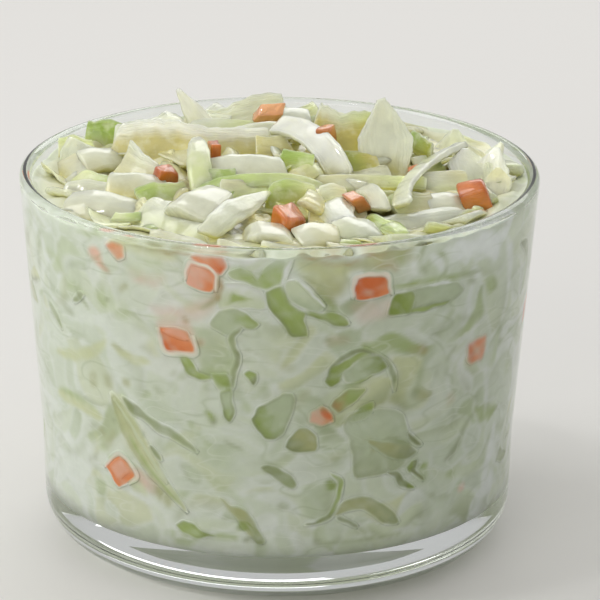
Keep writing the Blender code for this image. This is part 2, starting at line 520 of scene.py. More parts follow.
def pressedSolid(thing, lift):
    # the thing as a closed solid against the glass. A band is a flat tube along its spine: across its face,
    # over the edges and back. Any other shape is rings that step out from its middle over the face to just
    # past the outline, then back over the edge to a smaller ring behind it.
    if thing["spine"] is not None:
        place, square, half = thing["spine"][:, :2], thing["spine"][:, 2:4], thing["spine"][:, 4:]
        ahead = np.stack((square[:, 1], -square[:, 0]), -1)
        ends = np.array([-1] + [0] * (len(place) - 2) + [1])[:, None]
        place = (place + 0.3 * ends * ahead)[:, None]
        spread = np.array([1, 1, 1, 0.85, 0.45, 0, -0.45, -0.85, -1, -1, -1, -1, -0.6, 0.6, 1])
        extra = np.array([0.36, 0.18, 0, 0, 0, 0, 0, 0, 0, -0.18, -0.36, -0.36, 0, 0, 0.36])
        back = np.array([0.0] * 11 + [0.5, 1, 1, 0.5]) * thing["depth"]
        place = place + square[:, None] * (half * spread + extra)[..., None]
    else:
        middle = thing["outline"].mean(0)
        reach = np.hypot(*(thing["outline"] - middle).T)[:, None]
        outwards = (thing["outline"] - middle) / reach
        rings = [reach * share for share in (0.08, 0.35, 0.6, 0.8)]
        rings += [np.maximum(reach - inset, 0.85 * reach) for inset in (0.35, 0.15)]
        rings += [reach, reach + 0.18, reach + 0.36, reach + 0.36, reach * 0.6]
        back = (np.array([0.0] * 9 + [0.5, 1]) * thing["depth"])[:, None]
        place = middle + outwards * np.array(rings)
    along = place[..., 0]
    edge = edgeHeight(along / wallMiddle - np.pi / 2)
    height = np.clip(place[..., 1], tumbler["floorHeight"] + 0.6, edge - 0.3)
    return {"along": along, "height": height, "points": onWall(along, height, back - lift), "made": thing["made"],
            "colours": shapeColour(thing, along, height, canvasColour(along, height))}


def overlaps(thing, solid):
    # whether a thing reaches over any of a solid, by the boxes round them
    low, high = thing["outline"].min(0) - thing["soft"] - 1, thing["outline"].max(0) + thing["soft"] + 1
    return (solid["along"].min() < high[0] and solid["along"].max() > low[0]
            and solid["height"].min() < high[1] and solid["height"].max() > low[1])


# What shows against the glass round the front, in painting order; places are lengths along the wall from
# the front and heights. First what lies deep in the dressing, then what touches the glass.
deepShapes = [
    area([(-38, 46), (-38, 51), (-36, 53), (-34, 53), (-33.5, 50), (-35, 47)], "sage", strength=0.3, soft=0.8),
    stroke([(-43, 35.5, 1.4), (-36, 37, 1.8), (-31, 39.5, 1.6), (-29, 41.5, 1.2)], "straw", strength=0.7, soft=0.5),
    stroke([(-28, 41, 1.0), (-24, 39.5, 1.6), (-20.5, 39.5, 1.0)], "straw", "olive", 90, strength=0.7, soft=0.4),
    stroke([(-44, 28.5, 2.0), (-37, 28.7, 2.4), (-31, 27.5, 1.6)], "straw", "leaf", 90, strength=0.75, soft=0.5),
    stroke([(-40, 45, 1.2), (-36.5, 43.4, 1.0)], "shadow", strength=0.4, soft=0.6),
    area([(-29, 32.5), (-26, 32.5), (-23, 28), (-20, 22.5), (-22, 21.5), (-26, 24), (-28, 29)], "straw",
         "straw", strength=0.6, soft=0.8),
    stroke([(-25, 20.5, 1.6), (-22, 18.6, 2.4), (-20, 17.4, 1.6)], "pink", "rust", 0, strength=0.6, soft=0.7),
    area([(-20.8, 18), (-19.6, 18.6), (-18, 17.6), (-17.6, 16), (-18.6, 15.2), (-20.4, 16.4)], "olive",
         strength=0.75, soft=0.5),
    area([(-24, 56.5), (-20, 56.5), (-17, 54.5), (-19, 52.5), (-23, 53)], "pale", "pink", 270, strength=0.5, soft=1.0),
    area([(-20, 49), (-14, 50), (-10.5, 52), (-9.5, 50), (-13, 47.5), (-18, 47)], "pink", strength=0.4, soft=1.0),
    area([(-12.5, 46), (-9, 46.5), (-7, 45), (-6.3, 42), (-7, 39), (-9.5, 38.6), (-12.4, 38.6), (-12, 41)],
         "sage", "leaf", 300, strength=0.65, soft=0.5),
    area([(-13, 30), (-9, 27), (-6, 22), (-9, 18), (-14, 22), (-16, 27)], "pale", "sage", 45, strength=0.5, soft=1.8),
    area([(9, 58), (16.5, 58), (18, 55.5), (16.5, 56), (11, 56.5), (8, 56)], "olive", "rust", 0, strength=0.7, soft=0.7),
    area([(3, 58), (9, 58), (10, 55), (8, 52), (5.5, 56)], "olive", "straw", 0, strength=0.7, soft=0.7),
    area([(11, 50.5), (17, 51), (18, 48.5), (13, 47.5)], "pink", strength=0.35, soft=1.0),
    stroke([(7, 44.8, 1.4), (9.5, 45, 1.6), (11, 44.8, 1.0)], "rust", strength=0.3, soft=0.6),
    stroke([(20.5, 42.2, 1.0), (22.5, 41.6, 1.6), (24.5, 41, 1.2)], "olive", "rust", 0, strength=0.6, soft=0.5),
    stroke([(22, 35.2, 1.2), (23.5, 33.8, 2.0), (26, 33.4, 1.4)], "olive", "shadow", 180, strength=0.75, soft=0.5),
    stroke([(30, 32.8, 1.4), (30.4, 30.8, 1.6)], "rust", strength=0.3, soft=0.8),
    stroke([(28.6, 38.2, 0.8), (29.2, 39.6, 0.9), (30.6, 40.6, 0.7)], "shadow", strength=0.5, soft=0.4),
    stroke([(30, 45.4, 0.8), (33, 44.6, 1.0), (35.6, 44.8, 0.8)], "shadow", strength=0.35, soft=0.5),
    stroke([(36.2, 50.4, 1.6), (38, 48.8, 2.6), (39.4, 47.8, 1.2)], "leaf", "moss", 0, strength=0.7, soft=0.6),
    stroke([(31.6, 51.2, 1.0), (33.6, 50.4, 1.0)], "shadow", strength=0.6, soft=0.5),
    stroke([(36.4, 27.6, 0.8), (34.4, 26, 1.2), (33, 23.6, 1.0), (31.4, 21.8, 1.6), (30, 21.2, 1.2)], "shadow",
           "dusk", 225, strength=0.6, soft=0.5),
    stroke([(40.4, 26.8, 1.6), (43.5, 26.2, 2.4)], "leaf", strength=0.6, soft=0.8),
    stroke([(30.6, 18.6, 1.0), (32.6, 18.4, 1.0)], "leaf", strength=0.6, soft=0.5),
    stroke([(27, 15.8, 0.8), (28.4, 15.8, 0.8)], "shadow", strength=0.5, soft=0.4),
    # painted reflection: a soft white patch low on the right of the glass
    stroke([(41, 13.4, 2.4), (45, 12.8, 3.0)], "white", strength=0.8, soft=0.8),
    stroke([(20.4, 57.4, 1.4), (21.4, 54, 1.0)], "white", strength=0.7, soft=0.5),
    stroke([(24.2, 57, 1.8), (26, 54, 1.0)], "white", strength=0.6, soft=0.6),
    stroke([(30, 57.4, 2.2), (35, 56.2, 2.8), (41, 56.8, 1.6)], "white", strength=0.85, soft=0.7),
    stroke([(17, 52.7, 0.7), (22, 52.9, 0.8), (28, 52.5, 1.0), (35, 52.2, 0.7)], "leaf", "shadow", 0,
           strength=0.8, soft=0.35),
    area([(4.5, 20), (8, 20.5), (9.6, 18), (8.5, 15.5), (5.5, 15), (4, 17)], "sage", "shadow", 0, strength=0.6, soft=0.6),
    area([(-33.6, 34.6), (-32, 35), (-31.8, 33), (-33.2, 32.4)], "olive", strength=0.5, soft=0.5),
    area([(-30, 35.4), (-28.6, 35.4), (-28.4, 33.6), (-29.8, 33.4)], "olive", strength=0.5, soft=0.5),
    area([(-26, 35.8), (-24.8, 35.8), (-24.7, 34.4), (-26, 34.5)], "olive", strength=0.6, soft=0.4),
    stroke([(-30.2, 50, 1.4), (-29.4, 48.6, 2.2), (-28.8, 46.8, 1.2)], "leaf", strength=0.55, soft=0.5),
    stroke([(-25.6, 50.4, 0.9), (-24, 51.8, 1.2)], "olive", strength=0.6, soft=0.4),
    stroke([(-20, 35.6, 1.0), (-18.6, 34.4, 1.0)], "shadow", strength=0.45, soft=0.5),
    stroke([(-32.2, 25.6, 1.0), (-30.6, 24.8, 1.0)], "olive", strength=0.5, soft=0.5),
    stroke([(-16.8, 38.6, 1.2), (-16.2, 38.2, 1.2)], "shadow", strength=0.4, soft=0.5),
    stroke([(-5, 34.6, 1.2), (-4.6, 33, 1.2)], "leaf", strength=0.5, soft=0.5),
    stroke([(0.6, 41, 1.6), (2.6, 40.4, 1.2)], "olive", strength=0.4, soft=0.7),
    stroke([(-8.6, 28.2, 0.5), (-7, 27.4, 0.6), (-5.4, 26.6, 0.5)], "shadow", strength=0.6, soft=0.3),
    stroke([(-9, 58.4, 2.0), (-3, 58.6, 2.0)], "white", strength=0.8, soft=0.5),
    stroke([(-17, 53.4, 1.2), (-13, 51.6, 2.0)], "white", strength=0.5, soft=0.7),
    stroke([(-27, 58.4, 1.4), (-21, 58.2, 2.0), (-15, 57.6, 1.4)], "straw", strength=0.6, soft=0.8),
    stroke([(-22, 56.6, 0.5), (-18, 56, 0.7), (-15, 55.8, 0.5)], "leaf", strength=0.5, soft=0.4),
    stroke([(13, 58.2, 2.0), (18, 57.8, 2.6), (21, 57, 1.0)], "olive", "straw", 180, strength=0.6, soft=0.8),
    stroke([(26.6, 58, 1.2), (28, 55.6, 1.6), (27.4, 54, 0.8)], "white", strength=0.6, soft=0.6),
    stroke([(36, 58, 1.4), (38.4, 54.6, 2.0), (37.6, 52.6, 1.0)], "white", strength=0.5, soft=0.8),
    stroke([(22, 55.6, 0.6), (23.4, 54.2, 0.8)], "shadow", strength=0.5, soft=0.4),
]
glassShapes = [
    stroke([(2.6, 59.4, 0.3), (5, 58.6, 0.5), (7, 59, 0.4), (10, 58.8, 0.4)], "rust", strength=0.8, soft=0.3),
    stroke([(4.6, 57.9, 0.3), (6.8, 57.8, 0.5), (9.4, 57.4, 0.4), (12, 57.8, 0.3)], "rust", strength=0.6, soft=0.3),
    stroke([(-24, 58.6, 0.4), (-18, 58.4, 0.7), (-13, 58.8, 0.4)], "olive", "rust", 0, strength=0.8, soft=0.3),
    stroke([(12, 59, 0.5), (16, 58.5, 0.9), (21, 58.8, 0.4)], "olive", "rust", 180, strength=0.8, soft=0.3),
    stroke([(-34, 58.2, 0.4), (-31, 58.5, 0.8), (-28, 58.8, 0.4)], "leaf", strength=0.5, soft=0.4),
    # white smears of dressing on the glass at the top right, painted brighter to stand also as a painted reflection
    stroke([(23.5, 57.2, 1.0), (25.4, 55.6, 1.8), (26.6, 53.8, 0.8)], "white", strength=0.8, soft=0.35),
    stroke([(28, 58.2, 2.0), (30.4, 56, 3.2), (31, 53.9, 1.4)], "white", strength=1.0, soft=0.35),
    stroke([(33.5, 58, 2.2), (36.5, 55.8, 3.4), (38.8, 53, 1.6)], "white", strength=1.0, soft=0.4),
    stroke([(41, 56, 1.6), (43, 52, 2.0), (43.6, 46, 1.2)], "white", strength=0.7, soft=0.6),
    # painted reflection: white streaks low on the right of the glass
    stroke([(44, 24, 1.6), (43, 18, 2.4), (41, 13.5, 1.6)], "white", strength=0.8, soft=0.5),
    stroke([(38, 36, 0.8), (39.5, 31, 1.4), (40, 26, 0.8)], "white", strength=0.5, soft=0.5),
    stroke([(-44, 43.4, 1.0), (-41.6, 41.8, 1.2), (-40.2, 40.2, 0.7)], "shadow", strength=0.75, soft=0.3, made="cabbage"),
    stroke([(-36, 46, 0.6), (-34.4, 47.4, 0.9), (-33.4, 48, 0.5)], "shadow", strength=0.8, soft=0.25, made="cabbage"),
    stroke([(-35.4, 48.4, 0.5), (-34, 47, 0.7), (-32.2, 45.6, 0.4)], "shadow", strength=0.6, soft=0.3),
    stroke([(-28.4, 48.6, 0.8), (-27.8, 48, 0.8)], "shadow", strength=0.7, soft=0.3),
    stroke([(-37.5, 30.4, 0.4), (-33, 29.8, 0.6), (-30, 30.2, 0.5), (-28.4, 31, 0.4)], "shadow", strength=0.6, soft=0.25),
    stroke([(-28.6, 32.6, 2.0), (-25, 27, 3.6), (-21.5, 22, 3.0), (-18, 18.2, 1.4), (-15, 15, 0.7)], "straw",
           "olive", 200, strength=0.5, soft=0.35, line=0.2, rim=0.5, made="cabbage", depth=1.0),
    # painted highlight: the pale line along the left edge of the straw band
    stroke([(-28, 31.6, 0.4), (-25.2, 28.4, 0.5), (-22, 24, 0.5), (-18.6, 19.4, 0.4)], "pale", strength=0.8, soft=0.2,
           made="cabbage", depth=0.2),
    stroke([(-26.6, 27.4, 0.4), (-24, 24, 0.5), (-20.4, 20, 0.5), (-16, 16, 0.4)], "leaf", strength=0.6, soft=0.25),
    stroke([(-26.4, 32.4, 1.2), (-24.2, 31, 1.8), (-22, 30, 1.0), (-19.4, 28.6, 1.6), (-17, 28, 1.4),
            (-13, 25.6, 0.7)], "shadow", "dusk", 90, strength=0.8, soft=0.3, rim=0.35, made="cabbage"),
    stroke([(-21.4, 25.2, 0.6), (-20.2, 24, 0.9), (-19.4, 23.2, 0.7)], "shadow", "dusk", 135, strength=0.8, soft=0.25,
           rim=0.3, made="cabbage"),
    stroke([(-28.8, 28.4, 0.8), (-28.3, 27.6, 0.6)], "shadow", strength=0.6, soft=0.3),
    stroke([(-22.9, 27.4, 0.7), (-22.4, 26.8, 0.7)], "shadow", strength=0.6, soft=0.3),
    area([(-16, 22.8), (-14.6, 23), (-12.8, 22.2), (-12.6, 20.2), (-13.6, 20), (-15, 21.2)], "sage", strength=0.3,
         soft=0.3, line=0.35, rim=0.3),
    area([(-7.2, 56.2), (-5.7, 57), (-4.3, 56.6), (-2.9, 55.3), (-2.4, 56.9), (-1.2, 57.9), (0.2, 58.6), (1.2, 58),
          (0.6, 56.2), (0.2, 54.6), (-0.6, 54.2), (-1.9, 53.7), (-3, 54), (-5, 54.7), (-7, 55.3)], "leaf", "sage", 90,
         strength=0.8, soft=0.3, made="cabbage"),
    stroke([(0.5, 54.6, 0.4), (1, 56.6, 0.6), (1.8, 58.4, 0.4)], "white", strength=0.8, soft=0.25, made="cabbage"),
    area([(-8.6, 53.2), (-7.8, 54.3), (-5.7, 54.4), (-3.4, 53.7), (-2.2, 52.7), (-1.9, 50.8), (-3, 50.4), (-5.1, 50.8),
          (-7.2, 49.8), (-8.8, 50.3), (-9, 51.6)], "pale", "white", 80, strength=0.9, soft=0.2, line=0.15, rim=0.6,
         made="cabbage"),
    area([(-7.5, 50.9), (-7.3, 52.7), (-5.6, 52.6), (-4.2, 52.1), (-6, 51.5)], "leaf", strength=0.85, soft=0.3),
    stroke([(-9.2, 56, 0.8), (-8.8, 53.5, 1.2), (-9.8, 51.2, 1.2), (-12, 49.6, 0.6)], "rust", "olive", 270,
           strength=0.7, soft=0.35),
    area([(-10.2, 47.4), (-8.8, 49.8), (-6, 50.1), (-4.2, 49), (-3, 47.8), (-3.8, 47.1), (-5.4, 47.2), (-6.6, 46.2),
          (-8, 46)], "sage", "leaf", 0, strength=0.9, soft=0.25, line=0.3, rim=0.35, made="cabbage"),
    stroke([(-5.6, 47, 0.6), (-7, 45.6, 0.9), (-6.7, 43.8, 0.7), (-6.1, 42, 0.8), (-6.8, 39.4, 0.7), (-7, 37, 0.8)],
           "shadow", "dusk", 0, strength=0.85, soft=0.25, rim=0.3, made="cabbage"),
    area([(-15.2, 41.4), (-14.6, 39.2), (-13.4, 38.2), (-10.4, 38.2), (-10.8, 38.9), (-12.6, 39.3), (-13.2, 40.6),
          (-13.8, 41.5)], "leaf", "moss", 225, strength=0.9, soft=0.3, line=0.3, rim=0.35, made="cabbage"),
    area([(-10.2, 38.8), (-8, 39.2), (-7.2, 37.6), (-7.4, 36), (-8.4, 35.4), (-9.4, 37.2)], "leaf", "moss", 0,
         strength=0.85, soft=0.35, made="cabbage"),
    area([(-8.9, 36), (-7.3, 36.4), (-6.9, 34), (-6.9, 32.2), (-7.6, 31.4), (-8.3, 32), (-8.7, 34)], "sage", "leaf",
         270, strength=0.9, soft=0.2, line=0.8, rim=0.4, made="cabbage"),
    area([(-5.1, 39.6), (-4.4, 40.1), (-3.4, 39.6), (-3.3, 38.6), (-3.7, 37.8), (-4.4, 38.5)], "leaf", "dusk", 300,
         strength=0.95, soft=0.25, line=0.4, made="cabbage"),
    stroke([(-11.2, 32.8, 0.8), (-10.4, 31.6, 1.3), (-10.1, 30.6, 0.8)], "leaf", "dusk", 300, strength=0.75, soft=0.35),
    area([(-3.9, 32), (-2.9, 34), (-1.2, 34.9), (0.6, 36.1), (2.3, 36.3), (2.5, 35), (2, 32.6), (1, 30.2), (-0.4, 28.7),
          (-1.8, 28.8), (-3.1, 30.2)], "sage", "moss", 205, strength=0.95, soft=0.2, line=0.75, rim=0.5,
         made="cabbage", depth=1.2),
    area([(1.3, 27.4), (2, 28.8), (3.4, 30.4), (4.6, 30.4), (6, 29), (6.4, 27.6), (5.8, 26.6), (3.6, 26.4),
          (2.2, 26.8)], "olive", "dusk", 225, strength=0.95, soft=0.2, line=0.6, rim=0.5, made="cabbage", depth=1.2),
    area([(-2.5, 23.8), (-1.4, 24.3), (0.8, 23.4), (2.4, 22.4), (3, 20.8), (2.3, 20.2), (0.6, 21.2), (-1.4, 22.8)],
         "shadow", "dusk", 150, strength=0.9, soft=0.3, line=0.25, rim=0.4, made="cabbage"),
    area([(-9.4, 18.1), (-7.4, 17), (-5.6, 16.5), (-4, 15), (-3, 13.2), (-2, 11.4), (-3, 10.8), (-4.8, 12.4),
          (-6.2, 14.4), (-7.6, 16)], "olive", "shadow", 0, strength=0.85, soft=0.3, rim=0.4, made="cabbage"),
    area([(-6.4, 13.2), (-6.2, 14.4), (-4.6, 14.3), (-4.6, 13.2), (-5.6, 12.7)], "moss", strength=0.85, soft=0.25),
    stroke([(-5.4, 11, 1.0), (-4.2, 11.6, 0.6), (-3.2, 11.2, 1.0), (-2, 10.8, 0.6)], "dusk", strength=0.75, soft=0.3),
    area([(-17, 12.5), (-15.6, 13.4), (-14, 13), (-12, 12), (-10.4, 11.6), (-13.6, 11), (-15.8, 11.5)], "leaf", "moss",
         0, strength=0.9, soft=0.25, line=0.5, rim=0.3, made="cabbage"),
    stroke([(-10.6, 11.6, 0.7), (-8.4, 11.7, 1.0), (-6.4, 11.6, 0.7)], "leaf", strength=0.7, soft=0.35),
    area([(0.2, 17), (0.6, 17.9), (1.7, 17.4), (1.6, 16.7), (0.6, 16.6)], "sage", strength=0.5, soft=0.2, line=0.7),
    stroke([(3.2, 56, 0.8), (4.9, 54.8, 1.4), (6.6, 52.8, 1.8), (7.9, 51, 1.6), (8.4, 49.8, 1.0)], "olive", "moss", 250,
           strength=0.75, soft=0.6),
    stroke([(3.2, 49.9, 0.9), (5, 49.6, 0.8), (6.9, 49.1, 1.2), (8.8, 48.4, 1.8), (10.6, 47.6, 1.4)], "leaf", "moss",
           250, strength=0.9, soft=0.2, line=0.4, made="cabbage"),
    area([(-1.9, 53.3), (-0.5, 53.8), (0.6, 54), (1.2, 52.4), (2.1, 51.2), (3.3, 50.4), (4, 49.4), (3.7, 48.3),
          (4.2, 47), (4.5, 46.2), (3.2, 45.8), (2, 46), (1, 47.5), (-0.2, 49.2), (-1.4, 50.6), (-1.7, 52)], "leaf",
         "moss", 220, strength=0.95, soft=0.2, line=0.7, rim=0.3, made="cabbage", depth=1.2),
    area([(1.2, 54.5), (1.7, 55.1), (2.9, 55.1), (4, 53.9), (5.3, 52.3), (6.6, 50.8), (6, 50.2), (4.7, 50.3),
          (3.2, 51), (2.1, 51.8), (1.5, 52.6), (1.1, 53.6)], "pale", "sage", 250, strength=0.95, soft=0.15, rim=0.5,
         made="cabbage", depth=1.0),
    stroke([(2.8, 55.2, 0.3), (4.1, 54, 0.4), (5.4, 52.4, 0.4), (6.8, 50.8, 0.3)], "white", strength=0.85, soft=0.15,
           made="cabbage", depth=0.2),
    area([(2.6, 58), (6, 58), (10, 57), (10.4, 54), (8.4, 52), (6, 54)], "straw", "olive", 300, strength=0.6, soft=0.9),
    stroke([(7.3, 38.6, 0.6), (8.2, 40.4, 0.7), (10, 42, 0.7), (12.6, 43, 0.8), (15, 42, 0.7), (17.2, 40.4, 0.6),
            (18.4, 38, 1.0), (18.7, 35.4, 0.6)], "dusk", "shadow", 0, strength=0.8, soft=0.25, rim=0.25, made="cabbage"),
    area([(7.3, 38.3), (8.2, 40.4), (10, 41.4), (12.6, 42.6), (14.2, 42.3), (11.6, 41), (10.3, 39.8), (9.4, 38),
          (8.2, 37.3)], "leaf", "moss", 200, strength=0.95, soft=0.25, line=0.3, made="cabbage"),
    area([(10.4, 39.6), (13.6, 41.7), (15.6, 41.5), (17.2, 39.6), (15, 38.8), (12.4, 37.8), (10.6, 38)], "sage", "moss",
         10, strength=0.85, soft=0.25, line=0.3, rim=0.3, made="cabbage"),
    stroke([(10, 36.8, 0.6), (12.2, 37.5, 0.9), (15, 38.4, 0.6)], "leaf", strength=0.7, soft=0.3),
    area([(8.4, 34), (9.2, 35.2), (11.2, 36.4), (13.8, 36.4), (12.6, 35), (11, 33.9), (9.6, 32.9)], "leaf", "rust",
         200, strength=0.9, soft=0.25, line=0.3, rim=0.3, made="cabbage"),
    area([(11.6, 31.6), (13.2, 33.4), (15, 33.9), (15.2, 32.6), (13.8, 31.5), (12.2, 31)], "moss", "leaf", 20,
         strength=0.9, soft=0.35, made="cabbage"),
    area([(10.4, 30.4), (11.6, 32.2), (14, 32.6), (18, 32.4), (20.6, 31), (21.6, 28), (22.2, 24.6), (20.8, 22.2),
          (18, 21.6), (13.2, 21.4), (12.4, 22.6), (12.2, 25), (11.6, 28)], "sage", "shadow", 250, strength=0.7,
         soft=0.3, line=0.35, rim=0.4, made="cabbage", depth=1.2),
    stroke([(14.6, 27.6, 0.8), (16.6, 26.4, 1.2), (19, 25.4, 2.4), (22, 24.4, 2.2), (23.8, 24.2, 0.8)], "olive", "dusk",
           300, strength=0.85, soft=0.3, line=0.2, made="cabbage"),
    stroke([(17.4, 27.8, 0.7), (20, 26.8, 0.9), (22.6, 25.4, 0.7)], "shadow", strength=0.8, soft=0.3),
    stroke([(21.8, 27.8, 0.5), (22.8, 26.4, 0.8), (24.6, 25.1, 0.6)], "dusk", strength=0.85, soft=0.25, made="cabbage"),
    stroke([(18.6, 21.6, 0.6), (20.2, 20.8, 0.9), (21.4, 19.2, 1.1), (23.8, 17.9, 0.5)], "dusk", "moss", 0,
           strength=0.9, soft=0.25, made="cabbage"),
    area([(22, 21.8), (22.7, 22.7), (23.9, 22.5), (23.6, 21.2), (22.8, 20.8)], "moss", "dusk", 0, strength=0.95,
         soft=0.25, line=0.5, made="cabbage"),
    stroke([(23, 21.4, 0.8), (24.2, 20.2, 0.6), (25.6, 18.9, 0.5)], "dusk", strength=0.9, soft=0.2, made="cabbage"),
    stroke([(24.6, 21.5, 0.8), (26.3, 21.2, 0.9)], "leaf", "moss", 180, strength=0.8, soft=0.35),
    stroke([(8.6, 22.5, 0.5), (10.2, 21.2, 0.8), (10.1, 18.6, 0.6), (9.3, 16.4, 0.8), (8.2, 14.9, 0.7), (4.6, 14, 0.4)],
           "leaf", "dusk", 270, strength=0.9, soft=0.22, rim=0.35, made="cabbage"),
    area([(7.8, 21), (8.8, 21.6), (9.7, 20.6), (9.3, 19.7), (8.2, 19.8)], "moss", strength=0.8, soft=0.35),
    stroke([(9.6, 15.4, 1.0), (11.6, 16.7, 1.8), (14.4, 16.9, 2.0), (17, 15.4, 2.2), (19, 13.8, 2.4), (21, 12.6, 1.4)],
           "olive", "shadow", 30, strength=0.85, soft=0.3, line=0.4, rim=0.4, made="cabbage", depth=1.0),
    stroke([(10, 15, 0.9), (11.6, 14, 0.5), (13.4, 13, 0.6)], "dusk", strength=0.7, soft=0.25, made="cabbage"),
    stroke([(6, 11, 0.9), (7.4, 11, 0.8)], "dusk", strength=0.7, soft=0.3),
    stroke([(7, 10.6, 0.4), (13, 10.8, 0.5), (20, 10.5, 0.5)], "shadow", strength=0.6, soft=0.3),
    # painted highlight: a white glint along the dark line near the bottom
    stroke([(19.6, 11.1, 0.5), (23, 11, 0.8), (25, 10.6, 0.4)], "white", strength=0.8, soft=0.3),
    area([(20, 51.6), (25, 51.9), (29, 51.5), (30.8, 50.2), (29.4, 49), (26, 48.3), (20, 48.3)], "sage", "shadow", 250,
         strength=0.75, soft=0.3, line=0.5, rim=0.3, made="cabbage"),
    stroke([(20, 48.5, 0.7), (24, 48.5, 0.8), (28, 48.6, 0.5)], "leaf", "dusk", 90, strength=0.85, soft=0.25),
    area([(17.1, 48.3), (17.2, 50.6), (18, 51.6), (20.6, 51.7), (21.2, 50.4), (20.4, 48.3)], "moss", "leaf", 20,
         strength=0.95, soft=0.25, line=0.3, made="cabbage"),
    # painted highlight: a white glint on the top edge of the sage strip
    stroke([(23.6, 52.2, 0.5), (26.6, 52, 0.8), (28, 52, 0.4)], "white", strength=0.8, soft=0.25),
]
wallDice = [
    stroke([(-31.6, 55.2, 1.4), (-30, 55.4, 2.4), (-29.2, 54.2, 1.2), (-27.2, 52.9, 0.8)], "blush", "rust", 330,
           strength=0.75, soft=0.5),
    area([(-27.4, 57.4), (-26.4, 58.4), (-24.4, 58), (-24.3, 56.4), (-25.6, 55.6)], "carrot", strength=0.7, soft=0.5,
         made="carrot"),
    area([(-12.8, 58.4), (-8.4, 58.4), (-7.7, 57), (-8.6, 55.8), (-10.4, 56.6), (-12.6, 57.4)], "carrot", "deepCarrot",
         340, strength=0.85, soft=0.4, made="carrot"),
    area([(-13.9, 54), (-13.3, 57.1), (-9.5, 56.1), (-9.5, 53.8), (-10.2, 52.7), (-13.3, 53.4)], "blush", "carrot", 345,
         strength=0.97, soft=0.15, made="carrot", depth=3.6),
    stroke([(-14.1, 54.4, 0.3), (-13.5, 57, 0.6), (-12.6, 57.3, 0.5), (-9.6, 56.4, 0.5), (-9.3, 53, 0.4)], "frame",
           strength=0.95, soft=0.15, made="cabbage", depth=0.2),
    area([(-19, 46.6), (-14, 47.6), (-12.6, 45), (-12.6, 42), (-18, 41.8)], "pink", "frame", 270, strength=0.45, soft=0.5),
    area([(-18.4, 45.8), (-14.1, 45.7), (-13, 43.4), (-13.3, 42.4), (-17.5, 42.2), (-18.1, 43.8)], "carrot",
         "deepCarrot", 230, strength=0.95, soft=0.3, made="carrot", depth=3.6),
    stroke([(-17.8, 45.4, 0.8), (-15.6, 45.3, 1.4), (-14, 44.6, 0.9)], "blush", strength=0.7, soft=0.4,
           made="carrot", depth=0.2),
    stroke([(-18.9, 45.4, 0.3), (-18.1, 42, 0.5), (-15.4, 41.8, 0.4), (-12.7, 42.2, 0.4), (-13, 45, 0.3)], "frame",
           strength=0.6, soft=0.2, made="cabbage", depth=0.2),
    stroke([(-14.6, 48.2, 0.8), (-13.8, 47.2, 1.0)], "rust", strength=0.6, soft=0.4),
    # painted shadow: the rust smudge to the right of the carrot die
    stroke([(-12.4, 43.8, 1.2), (-11.4, 44.5, 0.9)], "rust", "pink", 0, strength=0.6, soft=0.4),
    area([(11.7, 51.5), (11.5, 54.2), (12, 55.1), (16.1, 54.8), (16.7, 52.8), (16.5, 51.8)], "deepCarrot", "carrot",
         315, strength=0.98, soft=0.18, made="carrot", depth=3.6),
    stroke([(11.1, 51.8, 0.4), (11.2, 54.8, 0.7), (12.6, 55.5, 0.6), (16.3, 55.1, 0.6), (16.9, 53, 0.4),
            (17.4, 51.8, 0.3)], "frame", strength=0.9, soft=0.18, made="cabbage", depth=0.2),
    area([(5, 31.6), (5.4, 33.2), (6.9, 34), (8.2, 32.8), (8.7, 31.4), (7, 30.9)], "blush", "carrot", 0, strength=0.75,
         soft=0.4, made="carrot"),
    stroke([(6.7, 33.8, 0.8), (7.4, 33, 1.2), (8.3, 31.9, 0.7)], "deepCarrot", "rust", 90, strength=0.85, soft=0.35,
           made="carrot", depth=0.2),
    area([(-31, 19.6), (-28.4, 21.8), (-26.8, 21.9), (-24.7, 19.6), (-28.2, 16.7)], "carrot", "carrot", 180,
         strength=0.97, soft=0.2, made="carrot", depth=3.6),
    area([(-29.8, 19.8), (-27.4, 21.6), (-26, 20), (-28.4, 18.2)], "blush", strength=0.85, soft=0.6, made="carrot",
         depth=0.2),
    stroke([(-31.4, 19.4, 0.3), (-28.6, 22.2, 0.4), (-26.8, 22.3, 0.4), (-24.3, 19.6, 0.4), (-26, 17.8, 0.3)], "frame",
           strength=0.6, soft=0.2, made="cabbage", depth=0.2),
    area([(33.4, 37.4), (33.3, 40), (35, 40.4), (37.5, 40.3), (37.7, 38), (37, 36.6), (34.4, 36.5)], "carrot",
         "deepCarrot", 180, strength=0.75, soft=0.6, made="carrot", depth=2.0),
    stroke([(34, 15.2, 1.2), (35.6, 15.2, 1.2)], "blush", strength=0.5, soft=0.6),
]

wallCabbage = {
    "soft": 110,               # shapes deep in the dressing, all round the wall
    "cut": 90,                 # pieces that touch the glass, where none is named above
    "carrots": 12,
    "namedReach": 46.0,        # the named pieces lie within this of the front
}


def choose(maker, names):
    return names[maker.integers(len(names))]


